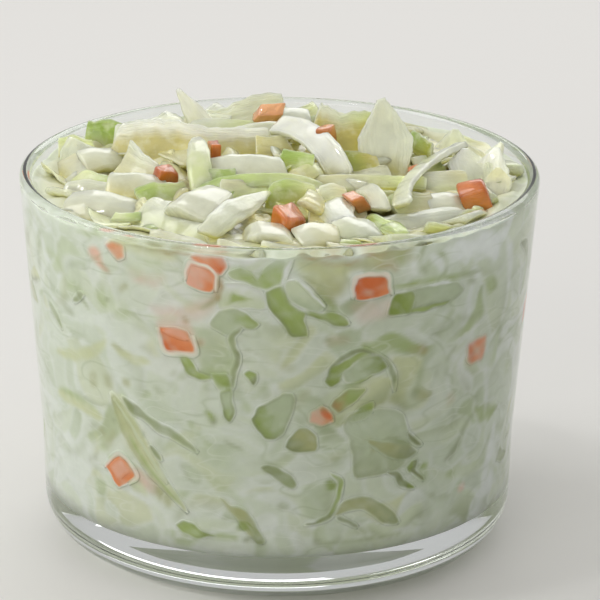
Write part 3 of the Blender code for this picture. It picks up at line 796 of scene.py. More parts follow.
def randomShape(maker, cut):
    # a bent shred or an uneven leaf piece anywhere on the wall, in the tones and sizes of the named ones
    along, height = maker.uniform(-np.pi, np.pi) * wallMiddle, maker.uniform(12.5, 56)
    tone = choose(maker, ("straw", "sage", "leaf", "olive", "sage", "pale", "shadow"))
    dark = choose(maker, ("shadow", "leaf", "moss", "dusk"))
    looks = {"strength": maker.uniform(0.6, 0.95) if cut else maker.uniform(0.2, 0.5),
             "soft": maker.uniform(0.2, 0.35) if cut else maker.uniform(0.5, 1.2),
             "line": maker.uniform(0.1, 0.6) if cut else 0.0, "rim": maker.uniform(0.1, 0.5) if cut else 0.0,
             "made": "cabbage" if cut else ""}
    if maker.random() < 0.6:
        lean, bend = math.radians(maker.normal(0, 45)), math.radians(maker.normal(0, 22))
        length, width = maker.uniform(5, 15), maker.uniform(0.6, 2.6)
        path = [(along, height, width * maker.uniform(0.4, 1))]
        for number in range(4):
            x, y, _ = path[-1]
            height = min(max(y + length / 4 * math.sin(lean), 12), 57)
            path.append((x + length / 4 * math.cos(lean), height, width * maker.uniform(0.5, 1)))
            lean += bend
        return stroke(path, tone, dark, maker.uniform(0, 360), **looks)
    turn = np.sort(maker.uniform(0, 2 * np.pi, 7))
    reach = maker.uniform(1.0, 3.4) * maker.uniform(0.7, 1.1, 7)
    corners = np.stack((along + 1.3 * reach * np.cos(turn), height + 0.8 * reach * np.sin(turn)), -1)
    return area(corners, tone, dark, maker.uniform(0, 360), **looks)


def randomDie(maker):
    along, height = maker.uniform(50, 192), maker.uniform(14, 55)
    corners = np.array([(-2.2, -1.8), (-2.0, 1.8), (2.1, 1.9), (2.2, -1.7)]) * maker.uniform(0.7, 1.1, (4, 2))
    lean = math.radians(maker.uniform(0, 90))
    turned = corners @ np.array([(math.cos(lean), math.sin(lean)), (-math.sin(lean), math.cos(lean))])
    return area(turned + (along, height), choose(maker, ("carrot", "blush")), "deepCarrot", maker.uniform(0, 360),
                strength=maker.uniform(0.6, 0.95), soft=maker.uniform(0.15, 0.5), made="carrot", depth=3.0)


def fillWall():
    # paints everything in order; what is cut solid stands a little further into the glass each time
    maker = np.random.default_rng(5)
    piles = {"cabbage": Pile(), "carrot": Pile()}
    things = [randomShape(maker, False) for number in range(wallCabbage["soft"])]
    for number in range(wallCabbage["cut"]):
        thing = randomShape(maker, True)
        away = np.abs(thing["outline"][:, 0]).min() > wallCabbage["namedReach"]
        things += [thing] if away else []
    things += deepShapes + glassShapes + wallDice + [randomDie(maker) for number in range(wallCabbage["carrots"])]
    solids = []
    for number, thing in enumerate(things):
        for solid in solids:
            if overlaps(thing, solid):
                solid["colours"] = shapeColour(thing, solid["along"], solid["height"], solid["colours"])
        if thing["made"]:
            solids.append(pressedSolid(thing, 0.01 + 0.17 * number / len(things)))
        paint(thing)
    for solid in solids:
        piles[solid["made"]].add(solid["points"], solid["colours"])
    return piles


def againstGlass(name, roughness, veins=()):
    # cream dressing and what lies in it, pressed to the glass: milky, with no shine of its own behind the
    # wall; a mottle of about 2 mm, and the soft green and white edges of shreds too fine to model
    material, tree = newMaterial(name)
    shader = tree.nodes["Principled BSDF"]
    shader.inputs["Roughness"].default_value = roughness
    shader.inputs["Specular IOR Level"].default_value = 0.2
    tint = addNode(tree, "ShaderNodeAttribute", {"attribute_name": "tint"})
    place = addNode(tree, "ShaderNodeTexCoord")
    mottle = addNode(tree, "ShaderNodeTexNoise", {"Scale": 420.0, "Detail": 4.0, "Roughness": 0.6},
                     {"Vector": place.outputs["Object"]})
    level = addNode(tree, "ShaderNodeMapRange", {"From Min": 0.3, "From Max": 0.7, "To Min": 0.95, "To Max": 1.03},
                    {"Value": mottle.outputs["Fac"]})
    shaded = addNode(tree, "ShaderNodeVectorMath", {"operation": "SCALE"},
                     {0: tint.outputs["Color"], "Scale": level.outputs["Result"]})
    colour = shaded.outputs[0]
    for scale, stretch, hexColour, amount in veins:
        # a line runs where a stretched noise passes through its middle value, and comes and goes with another
        mapped = addNode(tree, "ShaderNodeMapping", {"Rotation": (0.3, 0.5, 0.0), "Scale": stretch},
                         {"Vector": place.outputs["Object"]})
        shred = addNode(tree, "ShaderNodeTexNoise", {"Scale": scale, "Detail": 0.0, "Distortion": 0.3},
                        {"Vector": mapped.outputs["Vector"]})
        middle = addNode(tree, "ShaderNodeMath", {"operation": "SUBTRACT", 1: 0.5}, {0: shred.outputs["Fac"]})
        away = addNode(tree, "ShaderNodeMath", {"operation": "ABSOLUTE"}, {0: middle.outputs[0]})
        line = addNode(tree, "ShaderNodeMapRange", {"From Min": 0.0, "From Max": 0.06, "To Min": amount,
                                                    "To Max": 0.0}, {"Value": away.outputs[0]})
        patch = addNode(tree, "ShaderNodeTexNoise", {"Scale": scale * 0.7, "Detail": 1.0},
                        {"Vector": place.outputs["Object"]})
        shown = addNode(tree, "ShaderNodeMapRange", {"From Min": 0.45, "From Max": 0.62}, {"Value": patch.outputs["Fac"]})
        share = addNode(tree, "ShaderNodeMath", {"operation": "MULTIPLY"},
                        {0: line.outputs["Result"], 1: shown.outputs["Result"]})
        blend = addNode(tree, "ShaderNodeMix", {"data_type": "RGBA", 7: (*toLinear(hexColour), 1)},
                        {0: share.outputs[0], 6: colour})
        colour = blend.outputs[2]
    tree.links.new(colour, shader.inputs["Base Color"])
    return material


def makeDressing():
    # one closed body: floor, corner and wall as turned rows, then a top that turns over in a creamy collar
    # and sinks to the core under the loose pieces
    around, up = dressing["around"], dressing["up"]
    turn = np.linspace(-np.pi, np.pi, around, endpoint=False)
    edge = edgeHeight(turn)
    corner = floorCorner(-dressing["intoWall"])
    floorRings = corner[0] * (np.linspace(0.05, 1, 6)[:, None] * [1, 0] + [0, 1])
    lower = np.roll(latheGrid(np.vstack((floorRings[:-1], corner)), around), around // 2, axis=1)
    share = np.linspace(0, 1, up)[1:, None]
    height = mix(corner[-1, 1], edge[None, :], share)
    radius = innerRadius(height) + dressing["intoWall"]
    wall = np.stack((radius * np.cos(turn), radius * np.sin(turn), height), -1)
    rim = (innerRadius(edge) + dressing["intoWall"])[None, :]
    inward = np.concatenate(([0.15, 0.35, 0.6], np.linspace(0.9, 5.0, 10), np.linspace(7, 38.5, 15)))[:, None]
    reach = np.maximum(rim - inward, 0.4)
    x, y = reach * np.cos(turn), reach * np.sin(turn)
    spot = np.stack((x, y), -1)
    drop = mix(dressing["bankDrop"], dressing["coreDrop"], smoothStep(3.5, 9.0, inward))
    sunk = sample(heapTicks, heapTop, x, y) - drop + 0.5 * waves(spot, 6, 11)
    film = dressing["film"] * (1 + 0.5 * waves(spot, 7, 12))
    top = mix(edge[None, :] - 0.6 * inward ** 2, sunk, smoothStep(0.3 * film, film + 1.2, inward))
    grid = np.concatenate((lower, wall, np.stack((x, y, top), -1)))
    along = (np.arctan2(grid[..., 1], grid[..., 0]) + np.pi / 2 + np.pi) % (2 * np.pi) - np.pi
    colours = canvasColour(along * wallMiddle, grid[..., 2])
    inside = len(lower) + len(wall)
    # the top turns from the cream collar at the wall to painted shade of the gaps further in
    turnedIn = mix(toLinear(dressing["collar"]), toLinear(dressing["gapShade"]), smoothStep(2.0, 7.0, inward)[..., None])
    colours[inside:] = mix(colours[inside:], turnedIn, mix(0.4, 1.0, smoothStep(0.8, 2.6, inward))[..., None])
    body = Pile()
    body.add(grid, colours)
    veins = (130.0, (1, 1, 2.6), "#98A874", 0.26), (190.0, (1.2, 1.2, 3.0), "#F4F6EE", 0.30)
    body.build("dressing", againstGlass("creamy dressing against glass", 0.45, veins), "coleslaw")


piles = fillWall()
makeDressing()
piles["cabbage"].build("wallCabbage", againstGlass("cabbage pressed to glass", 0.5), "coleslaw")
piles["carrot"].build("wallCarrot", againstGlass("carrot pressed to glass", 0.5), "coleslaw")
print("dressing filled")


cuts = {
    # lengths, widths and thicknesses in mm; cup, bend and arch in degrees
    "chunk": {"length": (5, 9), "width": (4.0, 6.5), "thick": (2.2, 3.4), "cup": (-50, 10), "bend": 15,
              "arch": (5, 40), "square": 0.3, "thin": 0.3, "ragged": 0.01, "ruffle": 0.0, "drape": 0.1, "rows": 11, "columns": 20},
    "rib": {"length": (8, 17), "width": (3.0, 5.0), "thick": (1.6, 2.6), "cup": (-30, 35), "bend": 25,
            "arch": (0, 35), "square": 0.3, "thin": 0.3, "ragged": 0.02, "ruffle": 0.0, "drape": 0.25, "rows": 13, "columns": 18},
    "leaf": {"length": (6, 12), "width": (4.5, 8.0), "thick": (0.6, 1.1), "cup": (-60, 90), "bend": 30,
             "arch": (-20, 60), "square": 0.45, "thin": 0.5, "ragged": 0.035, "ruffle": 0.3, "drape": 0.5, "rows": 14, "columns": 20},
    "shred": {"length": (8, 17), "width": (1.8, 3.6), "thick": (0.7, 1.3), "cup": (0, 40), "bend": 70,
              "arch": (0, 45), "square": 0.45, "thin": 0.4, "ragged": 0.05, "ruffle": 0.1, "drape": 0.6, "rows": 16, "columns": 12},
}


def bentStrip(size):
    # a strip of rounded-box section: the section is cupped across, then the length is bent sideways and
    # arched over along circles; both long edges wander, both ends are cut askew, and fine ribs run along it
    length, width, thick, seed = size["length"], size["width"], size["thick"], size["seed"]
    share = np.concatenate(([0.0], np.linspace(0.03, 0.97, size["rows"] - 2), [1.0]))[:, None]
    around = np.linspace(0, 2 * np.pi, size["columns"], endpoint=False)[None, :]
    x = (share - 0.5) * length + 0 * around
    blunt = np.where((share < 0.01) | (share > 0.99), 0.82, 1.0)
    side = np.sign(np.cos(around)) * 40
    wander = 1 + 0.10 * waves(np.stack((x, side + 0 * x), -1), max(0.6 * length, 5.0), seed, 6)
    wander = wander + size["ragged"] * waves(np.stack((x, side + 0 * x), -1), 2.2, seed + 3, 6)
    taper = size["taper"]      # below 0 for a leaf with a pointed tip, whose foot is that much of its width
    leaf = mix(-taper, 1.0, smoothStep(0, 0.45, share)) * np.clip((1.02 - share) / 0.45, 0.12, 1) ** 0.75
    belly = leaf if taper < 0 else mix(1.0, taper, share ** 1.5)
    half = width / 2 * belly * blunt * np.clip(wander, 0.6, 1.3)
    y = half * roundedPower(np.cos(around), size["square"])
    z = thick / 2 * mix(1.0, 0.7, share) * blunt * roundedPower(np.sin(around), size["square"])
    across = y / (width / 2)
    x = x + size["skewStart"] * y * (1 - share) ** 4 + size["skewEnd"] * y * share ** 4
    z = z * (1 - size["thin"] * np.abs(across) ** 2.5)
    z = z + size["ruffle"] * across ** 2 * np.sin(2 * np.pi * x / 5.5 + size["phase"] + 1.6 * across)
    spot = np.stack((x, y), -1)
    z = z + 0.045 * thick ** 0.5 * waves(spot, 3.4, seed + 1, 7)
    z = z + size["ribs"] * np.sin(2 * np.pi * (y + 0.3 * waves(spot, 6, seed + 2, 5)) / 1.1) * np.sin(around) ** 2
    twist = math.radians(size["twist"]) * (share - 0.5)
    y, z = y * np.cos(twist) - z * np.sin(twist), y * np.sin(twist) + z * np.cos(twist)
    y, z = wrapOver(y, z, math.radians(size["cup"]) / width)
    x, y = wrapOver(x, y, math.radians(size["bend"]) / length)
    x, z = wrapOver(x, z, -math.radians(size["arch"]) / length)
    return np.stack((x, y, z), -1)


def cutDie(sizes, maker):
    # a rounded box on a sphere's grid, skewed and swollen a little, as diced with a knife
    up = np.linspace(-np.pi / 2, np.pi / 2, 15)[1:-1][:, None]
    around = np.linspace(0, 2 * np.pi, 20, endpoint=False)[None, :]
    power = 0.24
    ring = roundedPower(np.cos(up), power)
    place = np.stack((ring * roundedPower(np.cos(around), power), ring * roundedPower(np.sin(around), power),
                      roundedPower(np.sin(up), power) + 0 * around), -1)
    place = place + place @ maker.normal(0, 0.12, (3, 3))
    place = place * (1 + 0.05 * waves(place, 1.6, int(maker.integers(1000)), 5)[..., None])
    return place * np.array(sizes) / 2


def turned(points, roll, tilt, heading):
    # roll about the length, then tilt the far end up, then turn to the heading; degrees
    r, t, h = (math.radians(v) for v in (roll, tilt, heading))
    x, y, z = points[..., 0], points[..., 1], points[..., 2]
    y, z = y * math.cos(r) - z * math.sin(r), y * math.sin(r) + z * math.cos(r)
    x, z = x * math.cos(t) - z * math.sin(t), x * math.sin(t) + z * math.cos(t)
    x, y = x * math.cos(h) - y * math.sin(h), x * math.sin(h) + y * math.cos(h)
    return np.stack((x, y, z), -1)


def randomSize(kind, maker):
    cut = cuts[kind]

    def swing(most):
        return maker.uniform(-most, most)
    return {"length": maker.uniform(*cut["length"]), "width": maker.uniform(*cut["width"]),
            "thick": maker.uniform(*cut["thick"]), "cup": maker.uniform(*cut["cup"]), "bend": swing(cut["bend"]),
            "arch": maker.uniform(*cut["arch"]), "twist": swing(30), "square": cut["square"], "thin": cut["thin"], "ragged": cut["ragged"],
            "ruffle": cut["ruffle"] * maker.uniform(0.3, 1), "taper": maker.uniform(0.55, 1),
            "ribs": 0.0, "phase": maker.uniform(0, 6.28), "skewStart": swing(0.6),
            "skewEnd": swing(0.6), "rows": cut["rows"], "columns": cut["columns"], "drape": cut["drape"],
            "seed": int(maker.integers(1000))}


heap = {
    "cell": 0.5,
    "layers": 4.5,             # depth of loose pieces under the outline
    "tries": 8,
    "count": 700,
    "contact": 70,             # percentile of the underside that just touches
    "proud": -0.5,             # how far the bed of strips may stand over the outline
    "fillers": 220,            # small pieces for the gaps between the named ones
}
ticks = np.arange(-40, 40 + heap["cell"] / 2, heap["cell"])
gridX, gridY = np.meshgrid(ticks, ticks, indexing="ij")
outline = sample(heapTicks, heapTop, gridX, gridY)
level = outline - heap["layers"]


def cellsOf(points):
    index = np.round((points[..., :2] - ticks[0]) / heap["cell"]).astype(int)
    index = np.clip(index, 0, len(ticks) - 1)
    return index[..., 0], index[..., 1]


def settle(grid, drape):
    # lowers a strip until it lies on the heap: most of its underside touches or clears it, and a limp
    # strip also follows it ring by ring
    i, j = cellsOf(grid)
    need = level[i, j] - grid[..., 2]
    under = grid[..., 2] < grid[..., 2].mean(axis=1, keepdims=True)
    whole = np.percentile(need[under], heap["contact"])
    ring = np.nanpercentile(np.where(under, need, np.nan), heap["contact"], axis=1)
    soft = np.convolve(np.pad(ring, 2, mode="edge"), np.array([1, 2, 3, 2, 1]) / 9, mode="valid")
    out = grid.copy()
    out[..., 2] += mix(whole, soft, drape)[:, None]
    return out


def tooHigh(grid):
    # how far the upper part of a strip stands over the heap's outline
    i, j = cellsOf(grid)
    return np.percentile(grid[..., 2] - outline[i, j], 85)


def keepInside(grid):
    # slides a strip inwards until it clears the wall
    for _ in range(4):
        reach = np.hypot(grid[..., 0], grid[..., 1])
        over = reach - innerRadius(np.minimum(grid[..., 2], rimHeight)) + 0.12
        worst = np.unravel_index(np.argmax(over), over.shape)
        if over[worst] <= 0:
            break
        out = grid[worst][:2] / reach[worst]
        grid = grid - np.array((out[0], out[1], 0)) * over[worst]
    return grid


def pressInto(grid):
    # raises the heap's height map to the top of a strip, sampled finely between its points
    share = (np.arange(3 * len(grid) - 2) % 3 / 3)[:, None, None]
    base = np.arange(3 * len(grid) - 2) // 3
    fine = mix(grid[base], grid[np.minimum(base + 1, len(grid) - 1)], share)
    wrapped = np.concatenate((fine, fine[:, :1]), axis=1)
    for k in range(4):
        dense = mix(wrapped[:, :-1], wrapped[:, 1:], k / 4)
        np.maximum.at(level, cellsOf(dense), dense[..., 2])


palette = {
    "milk": "#F1F2E8",
    "white": "#DFE2CC",
    "ivory": "#E0DEB2",
    "cream": "#DCD698",
    "pale": "#D3DC9E",
    "green": "#B4CA70",
    "deep": "#93AE42",
    "olive": "#CABF68",
    "moss": "#98A038",
    "grey": "#D8DCC8",
    "shade": "#C3BD5A",        # what light that has passed through cabbage leaves in the gaps
    "film": "#F0B27C",         # dressing over carrot
    "carrot": "#DE7A1C",
    "deepCarrot": "#B85000",
}


def facing(grid):
    # how far each point's outward normal points up, from the grid's own two directions
    along = np.gradient(grid, axis=0)
    across = np.roll(grid, -1, axis=1) - np.roll(grid, 1, axis=1)
    normal = np.cross(along, across)
    normal /= np.linalg.norm(normal, axis=-1, keepdims=True) + 1e-9
    outward = grid - grid.mean(axis=1, keepdims=True)
    sign = np.sign((normal * outward).sum(-1).mean())
    return normal[..., 2] * sign


def deepen(grid, colour, amount):
    # the deeper a point lies and the more it faces down, the more it takes the gaps' yellow shade
    i, j = cellsOf(grid)
    depth = smoothStep(-0.3, 3.2, outline[i, j] - grid[..., 2])
    down = smoothStep(0.45, -0.7, facing(grid))
    low, high = grid[..., 2].min(), grid[..., 2].max()
    foot = smoothStep(0.55, 0.0, (grid[..., 2] - low) / (high - low)) * smoothStep(0.8, 3.0, high - low)
    share = np.clip(0.7 * depth + 0.6 * down * mix(0.6, 1.0, depth) + 0.5 * foot, 0, 0.92) * amount
    return mix(colour, toLinear(palette["shade"]), share[..., None])


def stripColours(grid, start, end, low):
    # colour runs from one tone to another along the strip, and to a third, painted shade of the lower face and
    # in some pieces their own green, where its face falls away below its own top edge and a little on its
    # right-hand side; cut edges and ends are whiter
    rows, columns = grid.shape[:2]
    share = np.linspace(0, 1, rows)[:, None, None]
    around = np.linspace(0, 2 * np.pi, columns, endpoint=False)[None, :, None]
    fall = grid[..., 2].max(axis=1, keepdims=True)[..., None] - grid[..., 2:]
    colour = mix(toLinear(palette[start]), toLinear(palette[end]), smoothStep(0.2, 0.9, share))
    # painted shade: the third tone where the face falls below the top edge, and a little on the right-hand side
    lower = np.maximum(0.35 * smoothStep(0.75, -0.8, np.cos(around)), smoothStep(0.7, 3.0, fall))
    edge = np.maximum(np.abs(np.cos(around)) ** 8, smoothStep(0.06, 0.0, np.minimum(share, 1 - share)))
    colour = mix(colour, toLinear(palette[low]), lower)
    colour = mix(colour, toLinear(palette["white"]), 0.55 * edge * (1 - lower))
    blotch = 0.05 * waves(grid, 4.5, 17)[..., None]
    return colour * (1 + blotch)


def fibres(grid, number):
    # a strip's own lengthwise and crosswise place, drawn short along it, so that a noise runs as fibres
    spine = grid.mean(axis=1)
    along = np.concatenate(([0], np.cumsum(np.linalg.norm(np.diff(spine, axis=0), axis=1))))[:, None]
    around = np.linspace(0, 2 * np.pi, grid.shape[1], endpoint=False)[None, :]
    half = np.linalg.norm(grid[:, 0] - grid[:, grid.shape[1] // 2], axis=1)[:, None] / 2
    return np.stack((0.16 * along + 0 * around, half * np.cos(around), 0.4 * half * np.sin(around) + 5.3 * number), -1)


def dieColours(grid, film):
    # film on top, clean cut carrot at the sides
    up = smoothStep(0.5, 0.95, facing(grid))[..., None]
    blotch = np.clip(0.5 + 0.5 * waves(grid, 3.0, 19)[..., None], 0, 1)
    side = mix(toLinear(palette["deepCarrot"]), toLinear(palette["carrot"]), blotch)
    smear = np.clip(0.45 + 0.5 * waves(grid, 2.2, 20)[..., None], 0, 1)
    return mix(side, toLinear(palette["film"]), np.clip(mix(0.03, 0.8, up) * smear + film, 0, 1))


# The pieces that show, front to back: x, y, height over the heap's outline, heading, tilt, roll, then
# length, width, thickness, cup, arch, bend, taper, and the tones of start, end and right-hand edge; the
# last is also laid as painted shade where a face falls below the piece's top edge.
named = [
    ("leaf", -29.0, 19.4, 2.0, -6, 0, 66, 6.0, 7.0, 0.9, 15, 8, 0, 0.9, "deep", "deep", "deep"),
    ("leaf", -33.0, 13.0, 1.0, 10, 0, 50, 6.0, 6.0, 1.0, 20, 10, 0, 0.8, "pale", "pale", "cream"),
    ("rib", -20.5, 17.0, 1.5, 3, 0, 50, 13.0, 4.0, 1.6, 20, 10, 0, 0.9, "white", "pale", "green"),
    ("leaf", -15.0, 4.5, 3.2, -3, 2, 66, 25.0, 10.5, 1.8, 30, 12, 0, 0.9, "milk", "milk", "olive"),
    ("chunk", -28.5, 3.5, 1.2, 20, 0, 25, 6.5, 5.5, 3.2, -60, 35, 0, 0.9, "white", "white", "cream"),
    ("leaf", -22.8, -5.0, 2.6, -50, 0, 52, 8.5, 8.0, 1.6, 90, 50, 20, 0.5, "white", "white", "ivory"),
    ("leaf", -33.0, 4.0, 0.8, -70, 0, 30, 9.0, 7.0, 1.2, -30, 15, 0, 0.9, "ivory", "white", "cream"),
    ("leaf", -29.8, -4.5, 0.6, -30, 0, 30, 6.5, 4.5, 1.0, 20, 10, 0, 0.8, "pale", "green", "cream"),
    ("leaf", -29.5, -9.5, 0.9, -5, 0, 40, 9.0, 4.5, 2.0, 30, 15, 0, 0.8, "white", "white", "ivory"),
    ("chunk", -22.5, -13.5, 1.6, 8, 0, 30, 9.0, 6.5, 3.2, -50, 35, 0, 0.85, "white", "white", "olive"),
    ("chunk", -27.8, -18.0, 0.5, -20, 0, 25, 11.5, 7.5, 3.4, -60, 45, 0, 0.8, "white", "white", "ivory"),
    ("shred", -23.5, -24.0, 0.6, 10, 0, 20, 4.5, 2.4, 0.9, 10, 10, 20, 0.8, "pale", "green", "pale"),
    ("leaf", -15.4, -27.4, 1.3, -36, -6, 40, 16.5, 9.5, 1.4, -35, 16, 0, -0.9, "white", "white", "pale"),
    ("leaf", -17.8, -16.0, 1.2, 32, 0, 40, 8.5, 5.5, 1.0, 50, 20, 0, 0.8, "green", "pale", "deep"),
    ("chunk", -11.6, -23.0, 2.2, 60, 10, 10, 9.4, 8.4, 5.0, -60, 30, 0, 0.6, "white", "white", "cream"),
    ("leaf", -6.3, -25.0, 1.5, 58, 6, 26, 18.0, 4.4, 1.1, -20, 18, -8, -0.9, "white", "white", "pale"),
    ("rib", -12.8, -9.5, 3.2, 94, 18, -8, 20.0, 3.6, 1.6, -35, 80, 6, -0.7, "pale", "white", "pale"),
    ("leaf", -9.5, -13.5, 1.0, 10, 0, 45, 5.5, 4.5, 1.0, 20, 10, 0, 0.9, "green", "green", "deep"),
    ("chunk", -5.0, -9.5, 1.8, 3, 0, 28, 12.0, 6.5, 3.2, -50, 40, 0, 0.8, "white", "white", "ivory"),
    ("shred", -3.2, -15.0, 1.4, 8, 0, 35, 21.0, 3.0, 1.2, 20, 45, -16, 0.8, "green", "pale", "pale"),
    ("leaf", -5.4, -17.0, 1.2, 12, 0, 40, 8.0, 5.0, 1.2, 45, 10, 0, 0.7, "ivory", "pale", "green"),
    ("leaf", 1.8, -17.5, 1.4, 6, 0, 52, 8.0, 7.5, 1.0, 60, 20, 0, 0.9, "green", "pale", "moss"),
    ("leaf", -8.8, -17.5, 0.5, -30, 0, 30, 3.5, 2.5, 0.8, 10, 10, 0, 0.8, "moss", "deep", "moss"),
    ("leaf", -1.6, -31.2, 0.3, 92, 6, 0, 5.0, 11.0, 1.5, -150, 10, 0, 0.95, "white", "white", "olive"),
    ("chunk", 6.0, -31.0, 0.6, 20, 0, 22, 6.6, 6.4, 3.4, -90, 60, 0, 0.8, "white", "ivory", "cream"),
    ("leaf", 5.4, -20.5, 1.2, 80, 0, 25, 6.0, 4.0, 1.6, -40, 20, 0, 0.8, "cream", "ivory", "olive"),
    ("leaf", -13.2, 19.5, 5.2, 165, 54, -62, 13.0, 6.0, 1.0, 30, -8, 0, 0.12, "milk", "milk", "milk"),
    ("leaf", -11.5, 20.5, 1.9, -30, 0, 60, 6.0, 5.0, 1.0, 20, 10, 0, 0.8, "grey", "grey", "white"),
    ("leaf", -6.0, 21.5, 3.3, 10, 8, 60, 13.0, 9.0, 1.2, 40, 30, 0, 1.1, "grey", "grey", "white"),
    ("chunk", 2.6, 24.5, 2.0, 0, 0, 20, 4.5, 4.5, 2.6, -60, 40, 0, 0.9, "grey", "grey", "white"),
    ("leaf", 10.0, 4.5, 5.4, 3, 0, 66, 11.5, 13.5, 1.2, 25, 15, 0, 0.9, "grey", "pale", "olive"),
    ("leaf", 13.0, -2.5, 0.7, 10, 0, 50, 6.0, 5.0, 0.9, 20, 10, 0, 0.8, "moss", "olive", "moss"),
    ("rib", 5.4, 1.0, 3.4, -54, -14, 30, 19.0, 4.0, 1.4, 50, 50, -46, 1.15, "milk", "milk", "grey"),
    ("leaf", -1.0, 3.0, 1.4, 20, 0, 40, 6.0, 5.0, 1.0, 40, 20, 0, 0.8, "cream", "ivory", "olive"),
    ("rib", -2.5, 9.5, 2.0, 30, 0, 40, 9.0, 4.0, 1.6, 20, 40, -20, 0.9, "white", "white", "ivory"),
    ("leaf", 2.4, -6.5, 0.9, -20, 0, 50, 6.0, 5.0, 1.0, 40, 15, 0, 0.9, "deep", "green", "moss"),
    ("leaf", 16.6, 1.5, 6.6, 96, 60, 0, 15.5, 8.2, 1.4, 50, -14, 6, -0.75, "white", "white", "grey"),
    ("shred", 22.2, 4.5, 3.2, -58, 0, 60, 7.0, 3.4, 0.9, 10, 20, 20, 0.7, "deep", "moss", "moss"),
    ("leaf", 23.8, 1.0, 1.4, 30, 0, 40, 4.6, 4.4, 1.0, 40, 20, 0, 0.8, "white", "green", "pale"),
    ("leaf", 28.4, 14.0, 1.8, 86, 40, 0, 8.0, 6.0, 0.9, 50, -14, 0, -0.7, "ivory", "white", "pale"),
    ("leaf", 30.6, 5.0, 1.8, 116, 38, 0, 7.0, 6.5, 0.9, 50, -14, 0, -0.8, "ivory", "white", "cream"),
    ("rib", 21.6, -7.0, 3.4, -110, -2, 22, 31.0, 2.8, 1.4, 20, 14, 40, 1.15, "white", "white", "pale"),
    ("rib", 14.2, -9.5, 0.9, 2, 0, 40, 18.0, 3.0, 1.4, 20, 20, 8, 0.9, "ivory", "pale", "pale"),
    ("chunk", 26.4, -12.5, 0.9, 20, 0, 24, 6.5, 5.5, 3.2, -50, 35, 0, 0.9, "white", "white", "ivory"),
    ("leaf", 23.2, -20.6, 1.0, 24, 0, 38, 15.0, 6.6, 2.2, -25, 8, 0, 0.95, "grey", "grey", "grey"),
    ("leaf", 9.2, -23.0, 1.2, -70, -6, 10, 9.5, 7.0, 1.8, -50, 20, 0, 0.4, "white", "grey", "white"),
    ("chunk", 12.0, -27.4, 0.9, 20, 0, 20, 7.0, 6.6, 3.0, -80, 60, 0, 0.9, "white", "grey", "pale"),
    ("shred", 15.8, -24.0, 1.0, -52, 0, 25, 8.5, 3.0, 1.0, 20, 20, 10, 0.8, "green", "pale", "green"),
    ("shred", 17.8, -26.0, 0.8, -60, 0, 15, 6.5, 2.6, 1.0, 10, 20, -20, 0.8, "deep", "green", "pale"),
    ("rib", 14.6, -14.0, 1.7, -72, 0, 26, 10.5, 3.0, 1.6, 20, 40, -40, 1.0, "white", "white", "cream"),
    ("leaf", 21.0, -15.0, 0.9, 20, 0, 30, 7.5, 6.0, 1.2, 30, 20, 0, 0.8, "pale", "ivory", "cream"),
    ("leaf", 8.2, -16.5, 1.2, 10, 0, 40, 4.8, 4.0, 1.4, 60, 20, 0, 0.9, "white", "ivory", "pale"),
    ("leaf", 34.0, 1.0, 2.6, 70, 45, 0, 8.5, 6.5, 0.9, 60, -14, 10, -0.8, "white", "milk", "white"),
    ("leaf", 34.0, 6.5, 2.0, 50, 44, 0, 8.0, 5.0, 0.9, 60, -14, -10, -0.7, "ivory", "white", "ivory"),
    ("leaf", 34.4, -5.0, 1.2, 84, 34, 0, 7.5, 5.0, 0.9, 50, -10, 0, -0.8, "white", "ivory", "ivory"),
    ("leaf", 26.5, -6.0, 1.4, 20, 0, 42, 7.5, 5.5, 1.0, 30, 10, 0, 0.8, "white", "ivory", "pale"),
    ("leaf", 30.4, 1.0, 2.0, 104, 36, 0, 8.5, 7.5, 0.9, 50, -14, 0, -0.8, "white", "milk", "pale"),
    ("rib", -9.0, 14.5, 1.6, 4, 0, 45, 12.0, 4.5, 1.8, 10, 15, 0, 0.9, "grey", "pale", "pale"),
    ("leaf", 26.0, -10.5, 0.4, 10, 0, 35, 8.0, 5.0, 1.2, 30, 10, 0, 0.9, "cream", "ivory", "olive"),
]
# carrot dice in the heap: x, y, height over the outline, heading, tilt, roll, three sizes and how much
# more film than the rest they carry
dice = [
    (-18.3, -9.2, 2.3, 36, 0, 6, 3.6, 3.4, 6.4, -0.25),
    (-10.4, -3.4, 2.7, 8, 0, 8, 1.9, 3.4, 4.6, -0.25),
    (-2.0, 16.5, 2.6, 2, 0, 44, 4.8, 2.6, 2.8, 0.7),
    (1.4, -26.0, 2.3, 40, 0, 8, 4.2, 4.4, 5.4, -0.2),
    (7.4, 2.0, 4.9, -20, 10, 20, 2.6, 2.4, 3.2, 0.2),
    (12.0, -18.0, 2.0, -52, -10, 20, 4.2, 3.0, 3.8, 0.15),
    (31.3, -12.2, 2.3, 174, 57, 0, 7.0, 3.2, 3.4, -0.3),
    (21.3, -1.5, 0.6, 10, 0, 30, 2.6, 2.2, 2.2, 0.0),
    (-30.0, 29.0, -1.6, 30, 0, 20, 4.4, 4.2, 4.0, 0.0),
    (16.0, 32.5, -1.6, 70, 0, 25, 4.6, 4.4, 4.4, 0.0),
    (-12.5, 33.0, -1.2, 50, 0, 10, 4.6, 4.2, 4.4, 0.0),
]


def strip(kind, heading, tilt, roll, length, width, thick, cup, arch, bend, taper, maker):
    # a named piece: its own sizes, with the small unevenness of its kind
    size = randomSize(kind, maker)
    size.update(length=length, width=width, thick=thick, cup=cup, arch=arch, bend=bend, taper=taper,
                twist=maker.uniform(-12, 12), skewStart=maker.uniform(-0.35, 0.35),
                skewEnd=maker.uniform(-0.35, 0.35))
    size.update(rows=int(14 + length), columns=int(20 + 1.6 * width), ribs=0.05 if kind != "chunk" else 0.02,
                ruffle=size["ruffle"] * 0.35)
    return turned(bentStrip(size), roll, tilt, heading)


